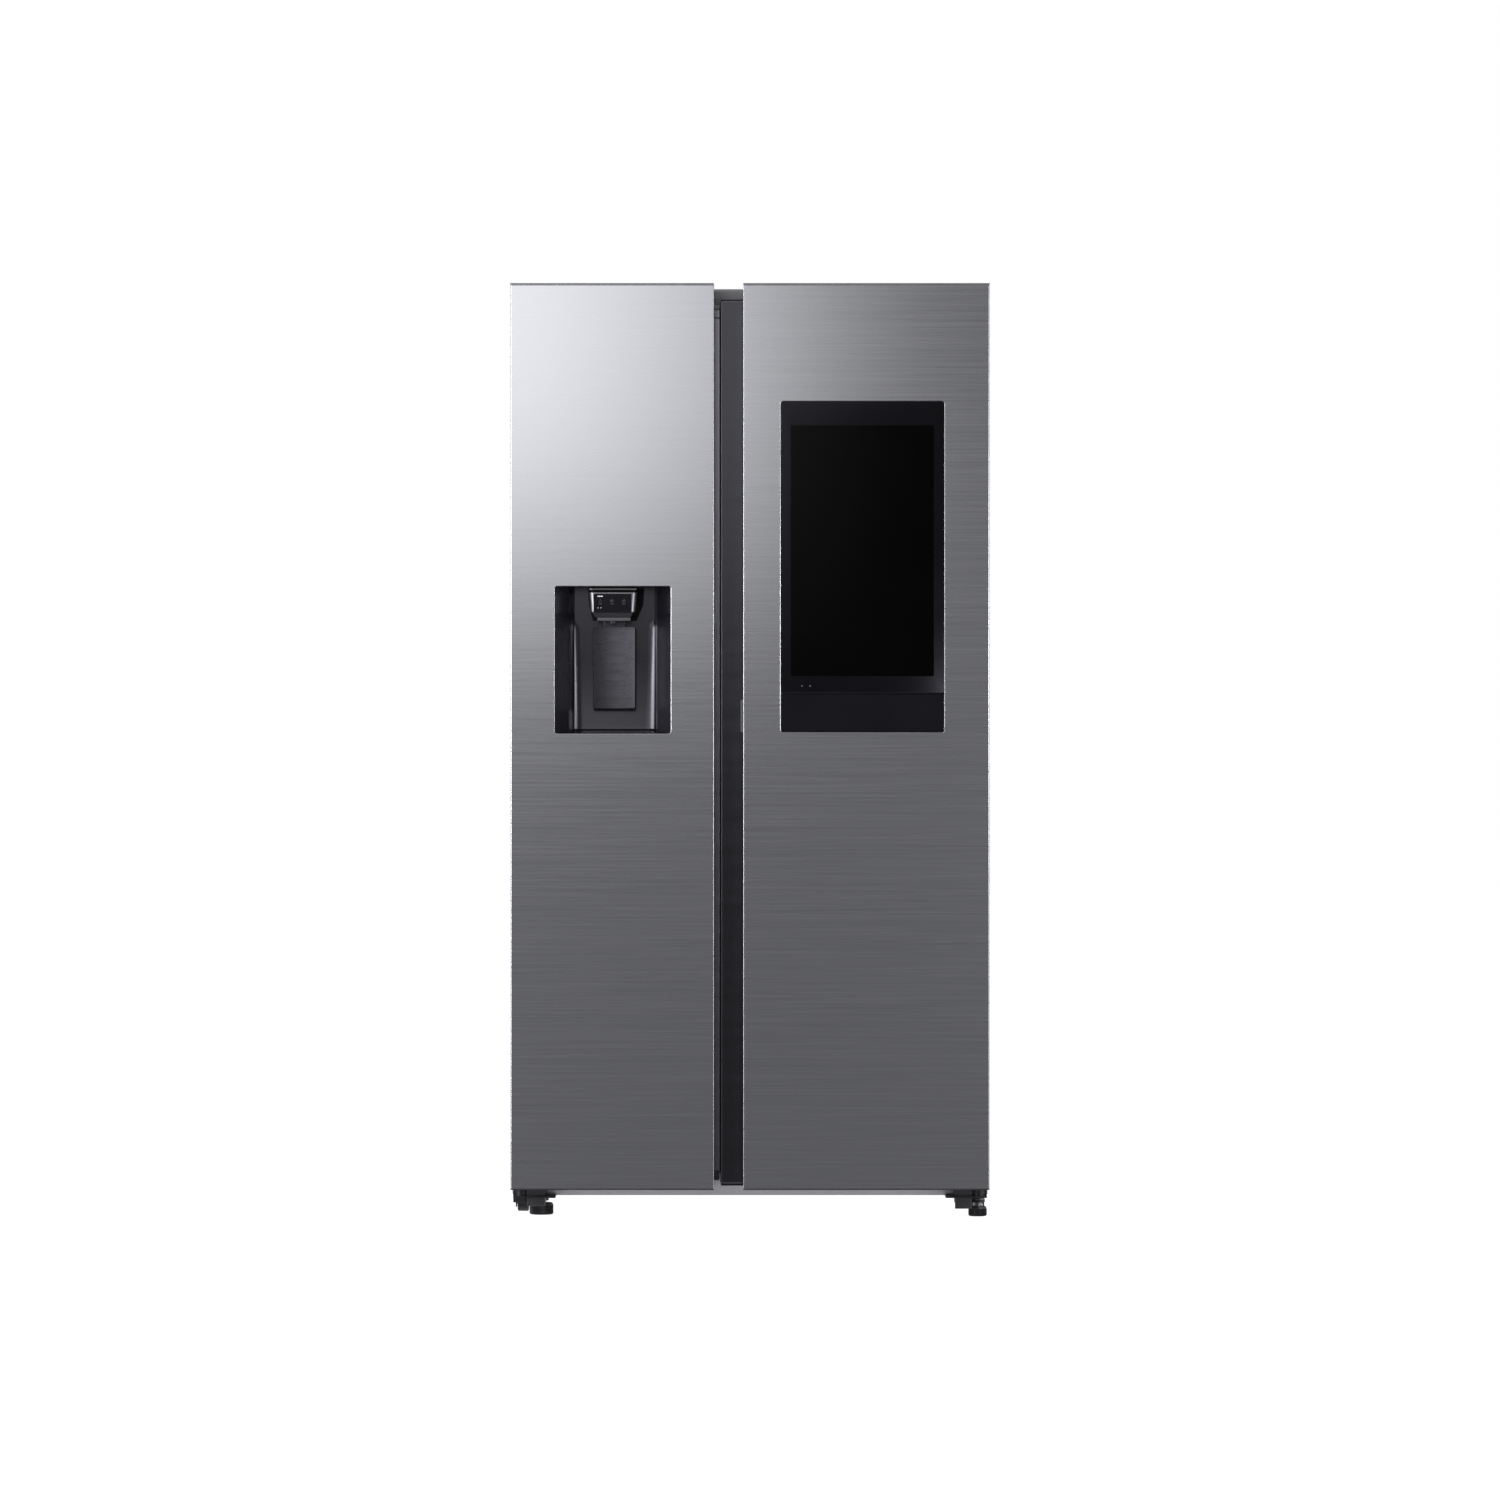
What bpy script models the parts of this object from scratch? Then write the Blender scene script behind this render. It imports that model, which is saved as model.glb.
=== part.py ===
"""Free-standing side by side refrigerator, built as an assembly of separate pieces.

Frame: metres, +Z up, origin on the floor at the centre of the whole object's box.
The doors face -Y, and the freezer is the narrower door on the -X side.
"""

import math

import bmesh
import bpy
from mathutils import Matrix, Vector

# ---------------------------------------------------------------- driving dimensions

WIDTH = 0.912
HEIGHT = 1.780
DEPTH = 0.716
GAP = 0.0003                                   # clearance between pieces that touch

HALF_WIDTH = WIDTH / 2
FRONT = -DEPTH / 2                             # outer face of the doors
REAR = DEPTH / 2
DOOR_DEPTH = 0.094
DOOR_BACK = FRONT + DOOR_DEPTH
SEAL_DEPTH = 0.012
CASE_FRONT = DOOR_BACK + SEAL_DEPTH
CASE_BOTTOM = 0.040
CASE_TOP = 1.744
SKIN = 0.001                                   # sheet steel
COVER_TOP = 1.777

# food compartments
FREEZER_X = (-0.406, -0.086)
FRIDGE_X = (-0.026, 0.406)
CAVITY_Z = (0.100, 1.690)
CAVITY_BACK = 0.308
LINER = 0.002
CORNER = 0.012                                 # rounding of the compartments
STEP_START = 0.085                             # the floor rises here over the machine space
STEP_END = 0.100
STEP_TOP = 0.345
MACHINE_FRONT = 0.118
MACHINE_TOP = 0.300
MACHINE_HALF_WIDTH = 0.440

# doors
DOOR_BOTTOM = 0.056
DOOR_TOP = HEIGHT
FREEZER_PANEL_X = (-HALF_WIDTH, -0.0686)
FRIDGE_PANEL_X = (-0.0129, HALF_WIDTH)
FREEZER_BODY_EDGE = -0.0572
FRIDGE_BODY_EDGE = -0.0553
EDGE_TRIM = 0.0022                             # plastic lip over the sheet's ends
CAP_TOP_START = 1.7408
CAP_BOTTOM_END = 0.0720
PANEL_FOLD = 0.003
GRIP_FRONT = FRONT + 0.018                     # back of the lip that fingers pull on
GRIP_BACK = FRONT + 0.040                      # floor of the finger recess
GRIP_REACH = 0.0314                            # how far the recess runs under the lip
FREEZER_GRIP_Z = (0.0855, 1.7345)
FRIDGE_GRIP_Z = (0.0615, 1.7520)
DIKE = 0.029                                   # ridge on the door's inner face
DIKE_WIDTH = 0.024
RIDGE_CLEARANCE = 0.008                        # from the ridge to the compartment's walls
HINGE_X = 0.438
HINGE_Y = -0.284
PIN_RADIUS = 0.005
PIN_HOLE = 0.0056

# dispenser
DISPENSER_X = -0.2601
DISPENSER_HALF = 0.1105
DISPENSER_BACK_HALF = 0.0758
DISPENSER_Z = (0.923, 1.204)
DISPENSER_BACK = FRONT + 0.072
LEVER_HALF = 0.0393
LEVER_Z = (0.9723, 1.1268)
LEVER_PIVOT = Vector((DISPENSER_X, -0.303, 1.147))

# door display
DISPLAY_X = (0.0597, 0.3703)
DISPLAY_Z = (0.9257, 1.5558)
DISPLAY_SPLIT = 1.0008
GLASS = 0.003

# drawers, bins and shelves
DRAWER_FRONT = -0.135
DRAWER_WALL = 0.0025
LOW_DRAWER_Z = (0.108, 0.345)
HIGH_DRAWER_Z = (0.362, 0.560)
SHELF = 0.006
SHELF_FRONT = -0.130
FREEZER_SHELVES = {"lower": 0.640, "upper": 1.040}
FRIDGE_SHELVES = {"lower": 0.880, "upper": 1.240}
CRISPER_COVER_Z = 0.572
BIN_BACK = DOOR_BACK + 0.0006
BIN_FRONT = -0.160
BIN_HEIGHT = 0.105
FREEZER_BINS = {"lower": 0.700, "upper": 1.360}
FRIDGE_BINS = {"lower": 0.700, "upper": 1.100}

# feet and rollers
RIGHT_FOOT = Vector((0.436, -0.268, 0.0))
LEFT_FOOT = Vector((-0.401, -0.222, 0.0))
FRONT_ROLLER_Y = -0.165
REAR_ROLLER_Y = 0.300
FRONT_ROLLER_X = 0.438
REAR_ROLLER_X = 0.405
AXLE_RADIUS = 0.003


# ---------------------------------------------------------------- scene and helpers

def clear_scene():
    for obj in list(bpy.data.objects):
        bpy.data.objects.remove(obj)


clear_scene()
parts = bpy.data.collections.new("side_by_side_refrigerator")
cutters = bpy.data.collections.new("cutters")
bpy.context.scene.collection.children.link(parts)
bpy.context.scene.collection.children.link(cutters)


def material(name, colour, roughness, metallic=0.0):
    made = bpy.data.materials.new(name)
    made.use_nodes = True
    shader = made.node_tree.nodes["Principled BSDF"]
    shader.inputs["Base Color"].default_value = (*colour, 1.0)
    shader.inputs["Roughness"].default_value = roughness
    shader.inputs["Metallic"].default_value = metallic
    made.diffuse_color = (*colour, 1.0)
    return made


def finished(name, bm, centre, look=None, recalculate=True):
    """An object from a bmesh whose points are in world metres, with its origin at centre."""
    bmesh.ops.translate(bm, vec=-Vector(centre), verts=bm.verts)
    if recalculate:
        bmesh.ops.recalc_face_normals(bm, faces=bm.faces)
    mesh = bpy.data.meshes.new(name)
    bm.to_mesh(mesh)
    bm.free()
    return placed(name, mesh, centre, look)


def placed(name, data, centre, look=None):
    obj = bpy.data.objects.new(name, data)
    obj.location = centre
    if look is None:
        obj.hide_render = True
        obj.display_type = "WIRE"
        cutters.objects.link(obj)
    else:
        data.materials.append(look)
        parts.objects.link(obj)
    return obj


def joint_empty(name, place):
    empty = bpy.data.objects.new(name, None)
    empty.location = place
    empty.empty_display_size = 0.05
    parts.objects.link(empty)
    return empty


def attach(empty, *objects):
    for obj in objects:
        obj.parent = empty
        obj.location -= empty.location


def box_mesh(low, high):
    bm = bmesh.new()
    bmesh.ops.create_cube(bm, size=1.0)
    low = Vector(low)
    size = Vector(high) - low
    for vert in bm.verts:
        vert.co = low + Vector((vert.co[i] + 0.5) * size[i] for i in range(3))
    return bm


def bevel(obj, width, segments=2, angle=30.0):
    modifier = obj.modifiers.new("rounding", "BEVEL")
    modifier.width = width
    modifier.segments = segments
    modifier.limit_method = "ANGLE"
    modifier.angle_limit = math.radians(angle)
    return obj


def solidify(obj, thickness, offset=-1.0):
    modifier = obj.modifiers.new("sheet", "SOLIDIFY")
    modifier.thickness = thickness
    modifier.offset = offset
    modifier.use_even_offset = True
    modifier.use_quality_normals = True
    return obj


def combine(obj, other, operation="DIFFERENCE"):
    modifier = obj.modifiers.new(other.name, "BOOLEAN")
    modifier.operation = operation
    modifier.object = other
    return obj


def centre_of(low, high):
    return (Vector(low) + Vector(high)) / 2


def block(name, low, high, look=None, rounding=0.0, segments=2):
    obj = finished(name, box_mesh(low, high), centre_of(low, high), look)
    if rounding:
        bevel(obj, rounding, segments)
    return obj


def blocks(name, boxes):
    """Several separate boxes in one helper mesh, for one Boolean."""
    joined = bmesh.new()
    for low, high in boxes:
        piece = box_mesh(low, high)
        mesh = bpy.data.meshes.new(name)
        piece.to_mesh(mesh)
        piece.free()
        joined.from_mesh(mesh)
    return finished(name, joined, (0, 0, 0))


def faces_towards(bm, direction):
    direction = Vector(direction)
    bm.normal_update()
    return [face for face in bm.faces if face.normal.dot(direction) > 0.99]


def tub(name, low, high, wall, look, open_towards=(0, 0, 1), rounding=0.006, segments=2):
    """A box with one side open: outer size low to high, walls of even thickness."""
    bm = box_mesh(low, high)
    bmesh.ops.delete(bm, geom=faces_towards(bm, open_towards), context="FACES")
    obj = finished(name, bm, centre_of(low, high), look)
    bevel(obj, rounding, segments)
    return solidify(obj, wall)


def rod(name, start, end, radius, look=None, segments=24):
    """A plain cylinder from start to end."""
    start, end = Vector(start), Vector(end)
    bm = bmesh.new()
    length = (end - start).length
    sizes = {"radius1": radius, "radius2": radius, "depth": length}
    bmesh.ops.create_cone(bm, cap_ends=True, segments=segments, **sizes)
    turn = Vector((0, 0, 1)).rotation_difference(end - start).to_matrix().to_4x4()
    bmesh.ops.transform(bm, matrix=Matrix.Translation((start + end) / 2) @ turn, verts=bm.verts)
    return finished(name, bm, (start + end) / 2, look)


def turned(name, profile, place, look, steps=32, axis="Z"):
    """A profile of (radius, height) points, from top to bottom, turned about an axis through place."""
    mesh = bpy.data.meshes.new(name)
    points = [(radius, 0.0, height) for radius, height in profile]
    edges = [(i, i + 1) for i in range(len(points) - 1)]
    if profile[0][0] > 0.0:
        edges.append((len(points) - 1, 0))
    mesh.from_pydata(points, edges, [])
    obj = placed(name, mesh, place, look)
    if axis == "X":
        obj.rotation_euler = (0.0, math.pi / 2, 0.0)
    if axis == "Y":
        obj.rotation_euler = (-math.pi / 2, 0.0, 0.0)
    screw = obj.modifiers.new("turning", "SCREW")
    screw.steps = steps
    screw.render_steps = steps
    screw.use_merge_vertices = True
    screw.merge_threshold = 0.00005
    screw.use_smooth_shade = True
    return obj


def arc(centre, radius, start_angle, end_angle, steps):
    for i in range(steps + 1):
        angle = math.radians(start_angle + (end_angle - start_angle) * i / steps)
        yield centre + radius * Vector((math.cos(angle), math.sin(angle)))


def filleted(corners, radius, steps=3):
    """A run of straight lines in plan with each inner corner rounded."""
    corners = [Vector(corner) for corner in corners]
    points = [corners[0]]
    for before, corner, after in zip(corners, corners[1:], corners[2:]):
        inward = (before - corner).normalized()
        outward = (after - corner).normalized()
        centre = corner + radius * (inward + outward)
        for i in range(steps + 1):
            angle = math.pi / 2 * i / steps
            points.append(centre - radius * (outward * math.cos(angle) + inward * math.sin(angle)))
    points.append(corners[-1])
    return points


def folded_sheet(name, corners, z_range, look, thickness=SKIN, radius=PANEL_FOLD, offset=-1.0):
    """A sheet that follows rounded corners in plan and stands between two heights."""
    bm = bmesh.new()
    low = [bm.verts.new((x, y, z_range[0])) for x, y in filleted(corners, radius)]
    edges = [bm.edges.new(pair) for pair in zip(low, low[1:])]
    grown = bmesh.ops.extrude_edge_only(bm, edges=edges)["geom"]
    top = [item for item in grown if isinstance(item, bmesh.types.BMVert)]
    bmesh.ops.translate(bm, vec=(0, 0, z_range[1] - z_range[0]), verts=top)
    centre = (sum(x for x, _ in corners) / len(corners), GRIP_BACK, sum(z_range) / 2)
    obj = finished(name, bm, centre, look, recalculate=False)
    return solidify(obj, thickness, offset)


def serpentine(low, high, runs, bend_steps=4):
    """Points of a flat serpentine in a plane, runs along the first axis."""
    pitch = (high[1] - low[1]) / (runs - 1)
    radius = pitch / 2
    for row in range(runs):
        level = low[1] + row * pitch
        ends = (low[0] + radius, high[0] - radius)
        first, last = ends if row % 2 == 0 else ends[::-1]
        yield first, level
        yield last, level
        if row == runs - 1:
            return
        side = 1 if last > first else -1
        for i in range(1, bend_steps):
            angle = math.pi * i / bend_steps
            yield last + side * radius * math.sin(angle), level + radius * (1 - math.cos(angle))


def tube(name, points, radius, look):
    curve = bpy.data.curves.new(name, "CURVE")
    curve.dimensions = "3D"
    curve.bevel_depth = radius
    curve.bevel_resolution = 1
    curve.use_fill_caps = True
    spline = curve.splines.new("POLY")
    spline.points.add(len(points) - 1)
    for target, point in zip(spline.points, points):
        target.co = (*point, 1.0)
    return placed(name, curve, (0, 0, 0), look)


# ---------------------------------------------------------------- materials

steel = material("brushed_steel", (0.42, 0.43, 0.45), 0.34, 0.9)
dark_steel = material("dark_steel", (0.045, 0.045, 0.05), 0.35, 0.6)
case_grey = material("case_paint", (0.19, 0.19, 0.205), 0.45, 0.3)
frame_grey = material("frame_paint", (0.22, 0.22, 0.235), 0.4, 0.2)
zinc = material("zinc_plate", (0.52, 0.53, 0.54), 0.4, 0.9)
foam_look = material("foam", (0.78, 0.70, 0.48), 0.95)
white = material("white_plastic", (0.82, 0.83, 0.84), 0.35)
grey_plastic = material("grey_plastic", (0.12, 0.12, 0.13), 0.45)
black_plastic = material("black_plastic", (0.012, 0.012, 0.014), 0.4)
black_gloss = material("black_gloss", (0.006, 0.006, 0.008), 0.12)
rubber = material("gasket_rubber", (0.18, 0.18, 0.19), 0.75)
clear = material("clear_plastic", (0.72, 0.79, 0.83), 0.12)
shelf_glass = material("shelf_glass", (0.62, 0.74, 0.72), 0.08)
black_enamel = material("black_enamel", (0.015, 0.015, 0.016), 0.3)
copper = material("condenser_coil", (0.05, 0.05, 0.05), 0.5, 0.3)
fin_metal = material("evaporator_fins", (0.70, 0.71, 0.72), 0.35, 0.9)


# ---------------------------------------------------------------- cabinet

def cabinet_shell():
    """Wrapper of sheet steel: two sides, the top, and the flange that the door seals rest on."""
    low = (-HALF_WIDTH, CASE_FRONT, CASE_BOTTOM)
    high = (HALF_WIDTH, REAR, CASE_TOP)
    bm = box_mesh(low, high)
    front = faces_towards(bm, (0, -1, 0))
    bmesh.ops.inset_region(bm, faces=front, thickness=0.01, depth=0.0)
    for vert in front[0].verts:
        vert.co.x = math.copysign(FRIDGE_X[1] + GAP, vert.co.x)
        vert.co.z = CAVITY_Z[1] + GAP if vert.co.z > HEIGHT / 2 else CASE_BOTTOM
    dropped = front + faces_towards(bm, (0, 1, 0)) + faces_towards(bm, (0, 0, -1))
    flange = [f for f in faces_towards(bm, (0, -1, 0)) if f not in dropped]
    below = [f for f in flange if all(v.co.z < CASE_BOTTOM + 0.001 for v in f.verts)]
    flat = [f for f in bm.faces if f.calc_area() < 1e-6]
    bmesh.ops.delete(bm, geom=list(set(dropped + below + flat)), context="FACES")
    obj = finished("cabinet_shell", bm, centre_of(low, high), case_grey)
    return solidify(obj, SKIN)


def cavity_prism(x_range, grow):
    """A compartment: a deep box whose floor steps up at the back over the machine space."""
    low = (x_range[0] - grow, CASE_FRONT, CAVITY_Z[0] - grow)
    high = (x_range[1] + grow, CAVITY_BACK + grow, CAVITY_Z[1] + grow)
    bm = box_mesh(low, high)
    for place in (STEP_START, STEP_END):
        geometry = bm.verts[:] + bm.edges[:] + bm.faces[:]
        bmesh.ops.bisect_plane(bm, geom=geometry, plane_co=(0, place, 0), plane_no=(0, 1, 0))
    for vert in bm.verts:
        if vert.co.y > STEP_END - 0.001 and vert.co.z < STEP_TOP:
            vert.co.z = STEP_TOP - grow
    return bm, low, high


def ledges(name, x_range, heights):
    """Shelf supports along both side walls."""
    boxes = []
    for height in heights:
        for wall, side in ((x_range[0], 1), (x_range[1], -1)):
            edges = sorted((wall + side * LINER / 2, wall + side * (LINER + 0.006)))
            low = (edges[0], SHELF_FRONT + 0.03, height - 0.010)
            boxes.append((low, (edges[1], 0.20, height - GAP)))
    return blocks(name, boxes)


def liner(name, x_range, heights):
    bm, low, high = cavity_prism(x_range, 0.0)
    bmesh.ops.delete(bm, geom=faces_towards(bm, (0, -1, 0)), context="FACES")
    obj = finished(name, bm, centre_of(low, high), white)
    bevel(obj, CORNER)
    solidify(obj, LINER)
    return combine(obj, ledges(name + "_ledges", x_range, heights), "UNION")


def cabinet_foam():
    low = (-HALF_WIDTH + SKIN + GAP, CASE_FRONT + SKIN + 0.0007, CASE_BOTTOM + 0.0018)
    high = (HALF_WIDTH - SKIN - GAP, REAR - 0.0015, CASE_TOP - SKIN - GAP)
    obj = block("cabinet_foam", low, high, foam_look)
    for name, x_range in (("freezer_hollow", FREEZER_X), ("fridge_hollow", FRIDGE_X)):
        bm, start, end = cavity_prism(x_range, GAP)
        for vert in bm.verts:
            if vert.co.y < CASE_FRONT + 0.001:
                vert.co.y -= 0.02
        combine(obj, bevel(finished(name, bm, centre_of(start, end)), CORNER))
    half = MACHINE_HALF_WIDTH
    space = block("machine_space", (-half, MACHINE_FRONT, 0.0), (half, REAR + 0.1, MACHINE_TOP))
    return combine(obj, space)


def front_frame():
    """Bottom rail and the divider's face plate, one tee of sheet steel."""
    back = CASE_FRONT + 0.0012
    rail = block(
        "front_frame",
        (-FRIDGE_X[1], CASE_FRONT, CASE_BOTTOM),
        (FRIDGE_X[1], back, CAVITY_Z[0] - GAP),
        frame_grey,
    )
    divider = block(
        "divider_plate",
        (FREEZER_X[1] + GAP, CASE_FRONT, CAVITY_Z[0] - 0.004),
        (FRIDGE_X[0] - GAP, back, CAVITY_Z[1]),
    )
    return combine(rail, divider, "UNION")


def base_plate():
    """Floor of the case, with the forks and axles of the rear rollers."""
    half = HALF_WIDTH - SKIN - 0.0004
    plate = block(
        "base_plate",
        (-half, CASE_FRONT + 0.0015, CASE_BOTTOM),
        (half, REAR - 0.0013, CASE_BOTTOM + 0.0015),
        zinc,
    )
    webs = []
    for side in (-1, 1):
        for offset in (-0.0145, 0.0125):
            x = side * REAR_ROLLER_X + offset
            low = (x, REAR_ROLLER_Y - 0.014, 0.012)
            webs.append((low, (x + 0.002, REAR_ROLLER_Y + 0.014, CASE_BOTTOM + 0.001)))
    combine(plate, blocks("rear_forks", webs), "UNION")
    for side in (-1, 1):
        x = side * REAR_ROLLER_X
        ends = [(x + offset, REAR_ROLLER_Y, 0.020) for offset in (-0.014, 0.014)]
        axle = rod(f"rear_axle_{side}", *ends, AXLE_RADIUS)
        combine(plate, axle, "UNION")
    return plate


def rear_covers():
    half = HALF_WIDTH - SKIN - 0.0004
    block("rear_panel", (-half, REAR - 0.0012, MACHINE_TOP), (half, REAR, CASE_TOP - SKIN - GAP), zinc)
    cover_half = MACHINE_HALF_WIDTH - GAP
    cover = block(
        "machine_cover",
        (-cover_half, REAR - 0.0050, CASE_BOTTOM + 0.0020),
        (cover_half, REAR - 0.0035, MACHINE_TOP - GAP),
        case_grey,
    )
    slots = []
    for column in range(-5, 6):
        if abs(column) < 1:
            continue
        x = column * 0.070
        for row in range(5):
            z = 0.110 + row * 0.032
            slots.append(((x - 0.024, REAR - 0.02, z), (x + 0.024, REAR + 0.02, z + 0.007)))
    combine(cover, blocks("louvres", slots))
    place = Vector((0.0, REAR - 0.0095, 0.075))
    combine(cover, rod("gland_hole", place, place + Vector((0, 0.02, 0)), 0.0095))
    profile = [(0.011, 0.0065), (0.012, 0.0055), (0.012, 0.0033)]
    profile += [(0.009, 0.0033), (0.009, -0.006), (0.005, -0.006), (0.005, 0.0065)]
    turned("cord_gland", profile, (0.0, REAR - 0.0065, 0.075), black_plastic, 24, "Y")


def top_cover():
    """Hollow cover over the upper hinges and the control board, slotted for the hinge arms."""
    low = (-0.452, CASE_FRONT, CASE_TOP + GAP)
    high = (0.452, -0.105, COVER_TOP)
    cover = tub("top_cover", low, high, 0.002, case_grey, open_towards=(0, 0, -1))
    slots = []
    for side in (-1, 1):
        x = side * (HINGE_X - 0.003)
        slot_low = (x - 0.0155, CASE_FRONT - 0.01, CASE_TOP - 0.005)
        slots.append((slot_low, (x + 0.0155, -0.235, CASE_TOP + 0.006)))
    return combine(cover, blocks("hinge_slots", slots))


def upper_hinge(name, side):
    """A flat arm bolted to the case's top, with a pin that hangs into the door."""
    x = side * HINGE_X
    low = (min(x - side * 0.018, x + side * 0.009), HINGE_Y - 0.009, CASE_TOP + 0.0005)
    high = (max(x - side * 0.018, x + side * 0.009), -0.150, CASE_TOP + 0.0050)
    arm = block(name, low, high, zinc, 0.0012, 1)
    pin = rod(name + "_pin", (x, HINGE_Y, 1.7300), (x, HINGE_Y, CASE_TOP + 0.002), PIN_RADIUS)
    return combine(arm, pin, "UNION")


def lower_hinge(name, side, inner_x):
    """Bracket under the case: door pin with its bush, adjuster block, and the front roller's fork."""
    top = CASE_BOTTOM - GAP
    low_x, high_x = sorted((side * 0.453, side * inner_x))
    plate = block(name, (low_x, HINGE_Y - 0.014, top - 0.0035), (high_x, -0.140, top), black_plastic)
    x = side * HINGE_X
    bush = rod(name + "_bush", (x, HINGE_Y, top - 0.002), (x, HINGE_Y, DOOR_BOTTOM - 0.0015), 0.011)
    pin = rod(name + "_pin", (x, HINGE_Y, top - 0.001), (x, HINGE_Y, 0.0690), PIN_RADIUS)
    combine(plate, bush, "UNION")
    combine(plate, pin, "UNION")
    near, far = sorted((side * 0.391, side * 0.4215))
    lump_low = (near, HINGE_Y - 0.006, 0.025)
    lump = block(name + "_adjuster", lump_low, (far, CASE_FRONT - 0.0005, 0.0540), None, 0.003)
    combine(plate, lump, "UNION")
    webs = []
    for offset in (-0.0145, 0.0125):
        start = side * FRONT_ROLLER_X + offset
        low = (start, FRONT_ROLLER_Y - 0.014, 0.010)
        webs.append((low, (start + 0.002, FRONT_ROLLER_Y + 0.014, top - 0.001)))
    combine(plate, blocks(name + "_fork", webs), "UNION")
    axle_z = 0.0185
    ends = [(side * FRONT_ROLLER_X + offset, FRONT_ROLLER_Y, axle_z) for offset in (-0.014, 0.014)]
    return combine(plate, rod(name + "_axle", *ends, AXLE_RADIUS), "UNION")


def roller(name, x, y, centre_z, radius):
    """A plastic wheel with a bore, on its own joint axis."""
    bore = AXLE_RADIUS + 0.0003
    half = 0.011
    profile = [(bore, half), (radius - 0.002, half), (radius, half - 0.002)]
    profile += [(radius, 0.002 - half), (radius - 0.002, -half), (bore, -half)]
    place = Vector((x, y, centre_z))
    wheel = turned(name, profile, place, black_plastic, 24, "X")
    attach(joint_empty(name + "_axis", place), wheel)


def foot(name, place, radius, height):
    """A levelling foot: a knurled disc on a threaded stem."""
    teeth = 32
    bm = bmesh.new()
    sizes = {"radius1": radius - 0.001, "radius2": radius, "depth": height}
    bmesh.ops.create_cone(bm, cap_ends=True, segments=teeth, **sizes)
    for vert in bm.verts:
        corner = round(math.atan2(vert.co.y, vert.co.x) / (2 * math.pi / teeth))
        if corner % 2:
            vert.co.xy *= 1 - 0.0012 / radius
    bmesh.ops.translate(bm, vec=place + Vector((0, 0, height / 2)), verts=bm.verts)
    disc = finished(name, bm, place, black_plastic)
    stem_ends = (place + Vector((0, 0, height - 0.002)), place + Vector((0, 0, 0.0355)))
    stem = rod(name + "_stem", *stem_ends, 0.006)
    combine(disc, stem, "UNION")
    axis = joint_empty(name + "_axis", place)
    stem.parent = axis
    stem.location -= axis.location
    attach(axis, disc)


# ---------------------------------------------------------------- cooling system

def fan(name, place, axis, hub, reach, blades, look):
    """A hub with pitched blades, turned about its own axis."""
    half = 0.008
    profile = [(0.0, half), (hub - 0.002, half), (hub, half - 0.002), (hub, -half), (0.0, -half)]
    rotor = turned(name, profile, place, look, 24, axis)
    joined = bmesh.new()
    for i in range(blades):
        blade = box_mesh((hub - 0.004, -0.0008, -0.012), (reach, 0.0008, 0.012))
        for vert in blade.verts:
            if vert.co.x > hub:
                vert.co.z *= 1.25
        pitch = Matrix.Rotation(math.radians(52), 4, "X")
        around = Matrix.Rotation(2 * math.pi * i / blades, 4, "Z")
        bmesh.ops.transform(blade, matrix=around @ pitch, verts=blade.verts)
        mesh = bpy.data.meshes.new(name + "_blade")
        blade.to_mesh(mesh)
        blade.free()
        joined.from_mesh(mesh)
    helper = finished(name + "_blades", joined, (0, 0, 0))
    helper.rotation_euler = rotor.rotation_euler
    helper.location = place
    combine(rotor, helper, "UNION")
    centre = joint_empty(name + "_axis", place)
    attach(centre, rotor, helper)


def compressor():
    """Welded steel can on a flat foot plate."""
    place = Vector((0.270, 0.235, CASE_BOTTOM + 0.0018))
    profile = [(0.0, 0.185)]
    profile += [(0.020 + p.x, 0.125 + p.y) for p in arc(Vector((0, 0)), 0.060, 90, 10, 5)]
    profile += [(0.080, 0.118), (0.085, 0.114), (0.085, 0.108), (0.080, 0.104)]
    profile += [(0.020 + p.x, 0.080 + p.y) for p in arc(Vector((0, 0)), 0.060, 0, -80, 4)]
    profile += [(0.0, 0.0205)]
    can = turned("compressor", profile, place, black_enamel, 28)
    reach = Vector((0.085, 0.060, 0.0))
    plate = block("compressor_foot", place - reach, place + reach + Vector((0, 0, 0.003)))
    post = rod("compressor_posts", place + Vector((0, 0, 0.001)), place + Vector((0, 0, 0.03)), 0.035)
    combine(can, plate, "UNION")
    return combine(can, post, "UNION")


def condenser():
    """A serpentine tube standing along the machine space."""
    plane = list(serpentine((-0.400, 0.068), (-0.110, 0.268), 8))
    points = [(x, 0.235, z) for x, z in plane]
    points += [(points[-1][0], 0.200, points[-1][2])]
    points += [(x, 0.200, z) for x, z in plane[-2::-1]]
    return tube("condenser", points, 0.0035, copper)


def evaporator():
    """Aluminium fins on a common back, standing behind the freezer's rear cover."""
    bm = box_mesh((-0.380, 0.250, 0.400), (-0.112, 0.296, 0.760))
    obj = finished("evaporator", bm, (-0.246, 0.273, 0.580), fin_metal)
    cuts = []
    count = 18
    pitch = 0.268 / count
    for i in range(count):
        x = -0.380 + (i + 0.35) * pitch
        cuts.append(((x, 0.240, 0.390), (x + 0.6 * pitch, 0.288, 0.770)))
    return combine(obj, blocks("fin_gaps", cuts))


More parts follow.
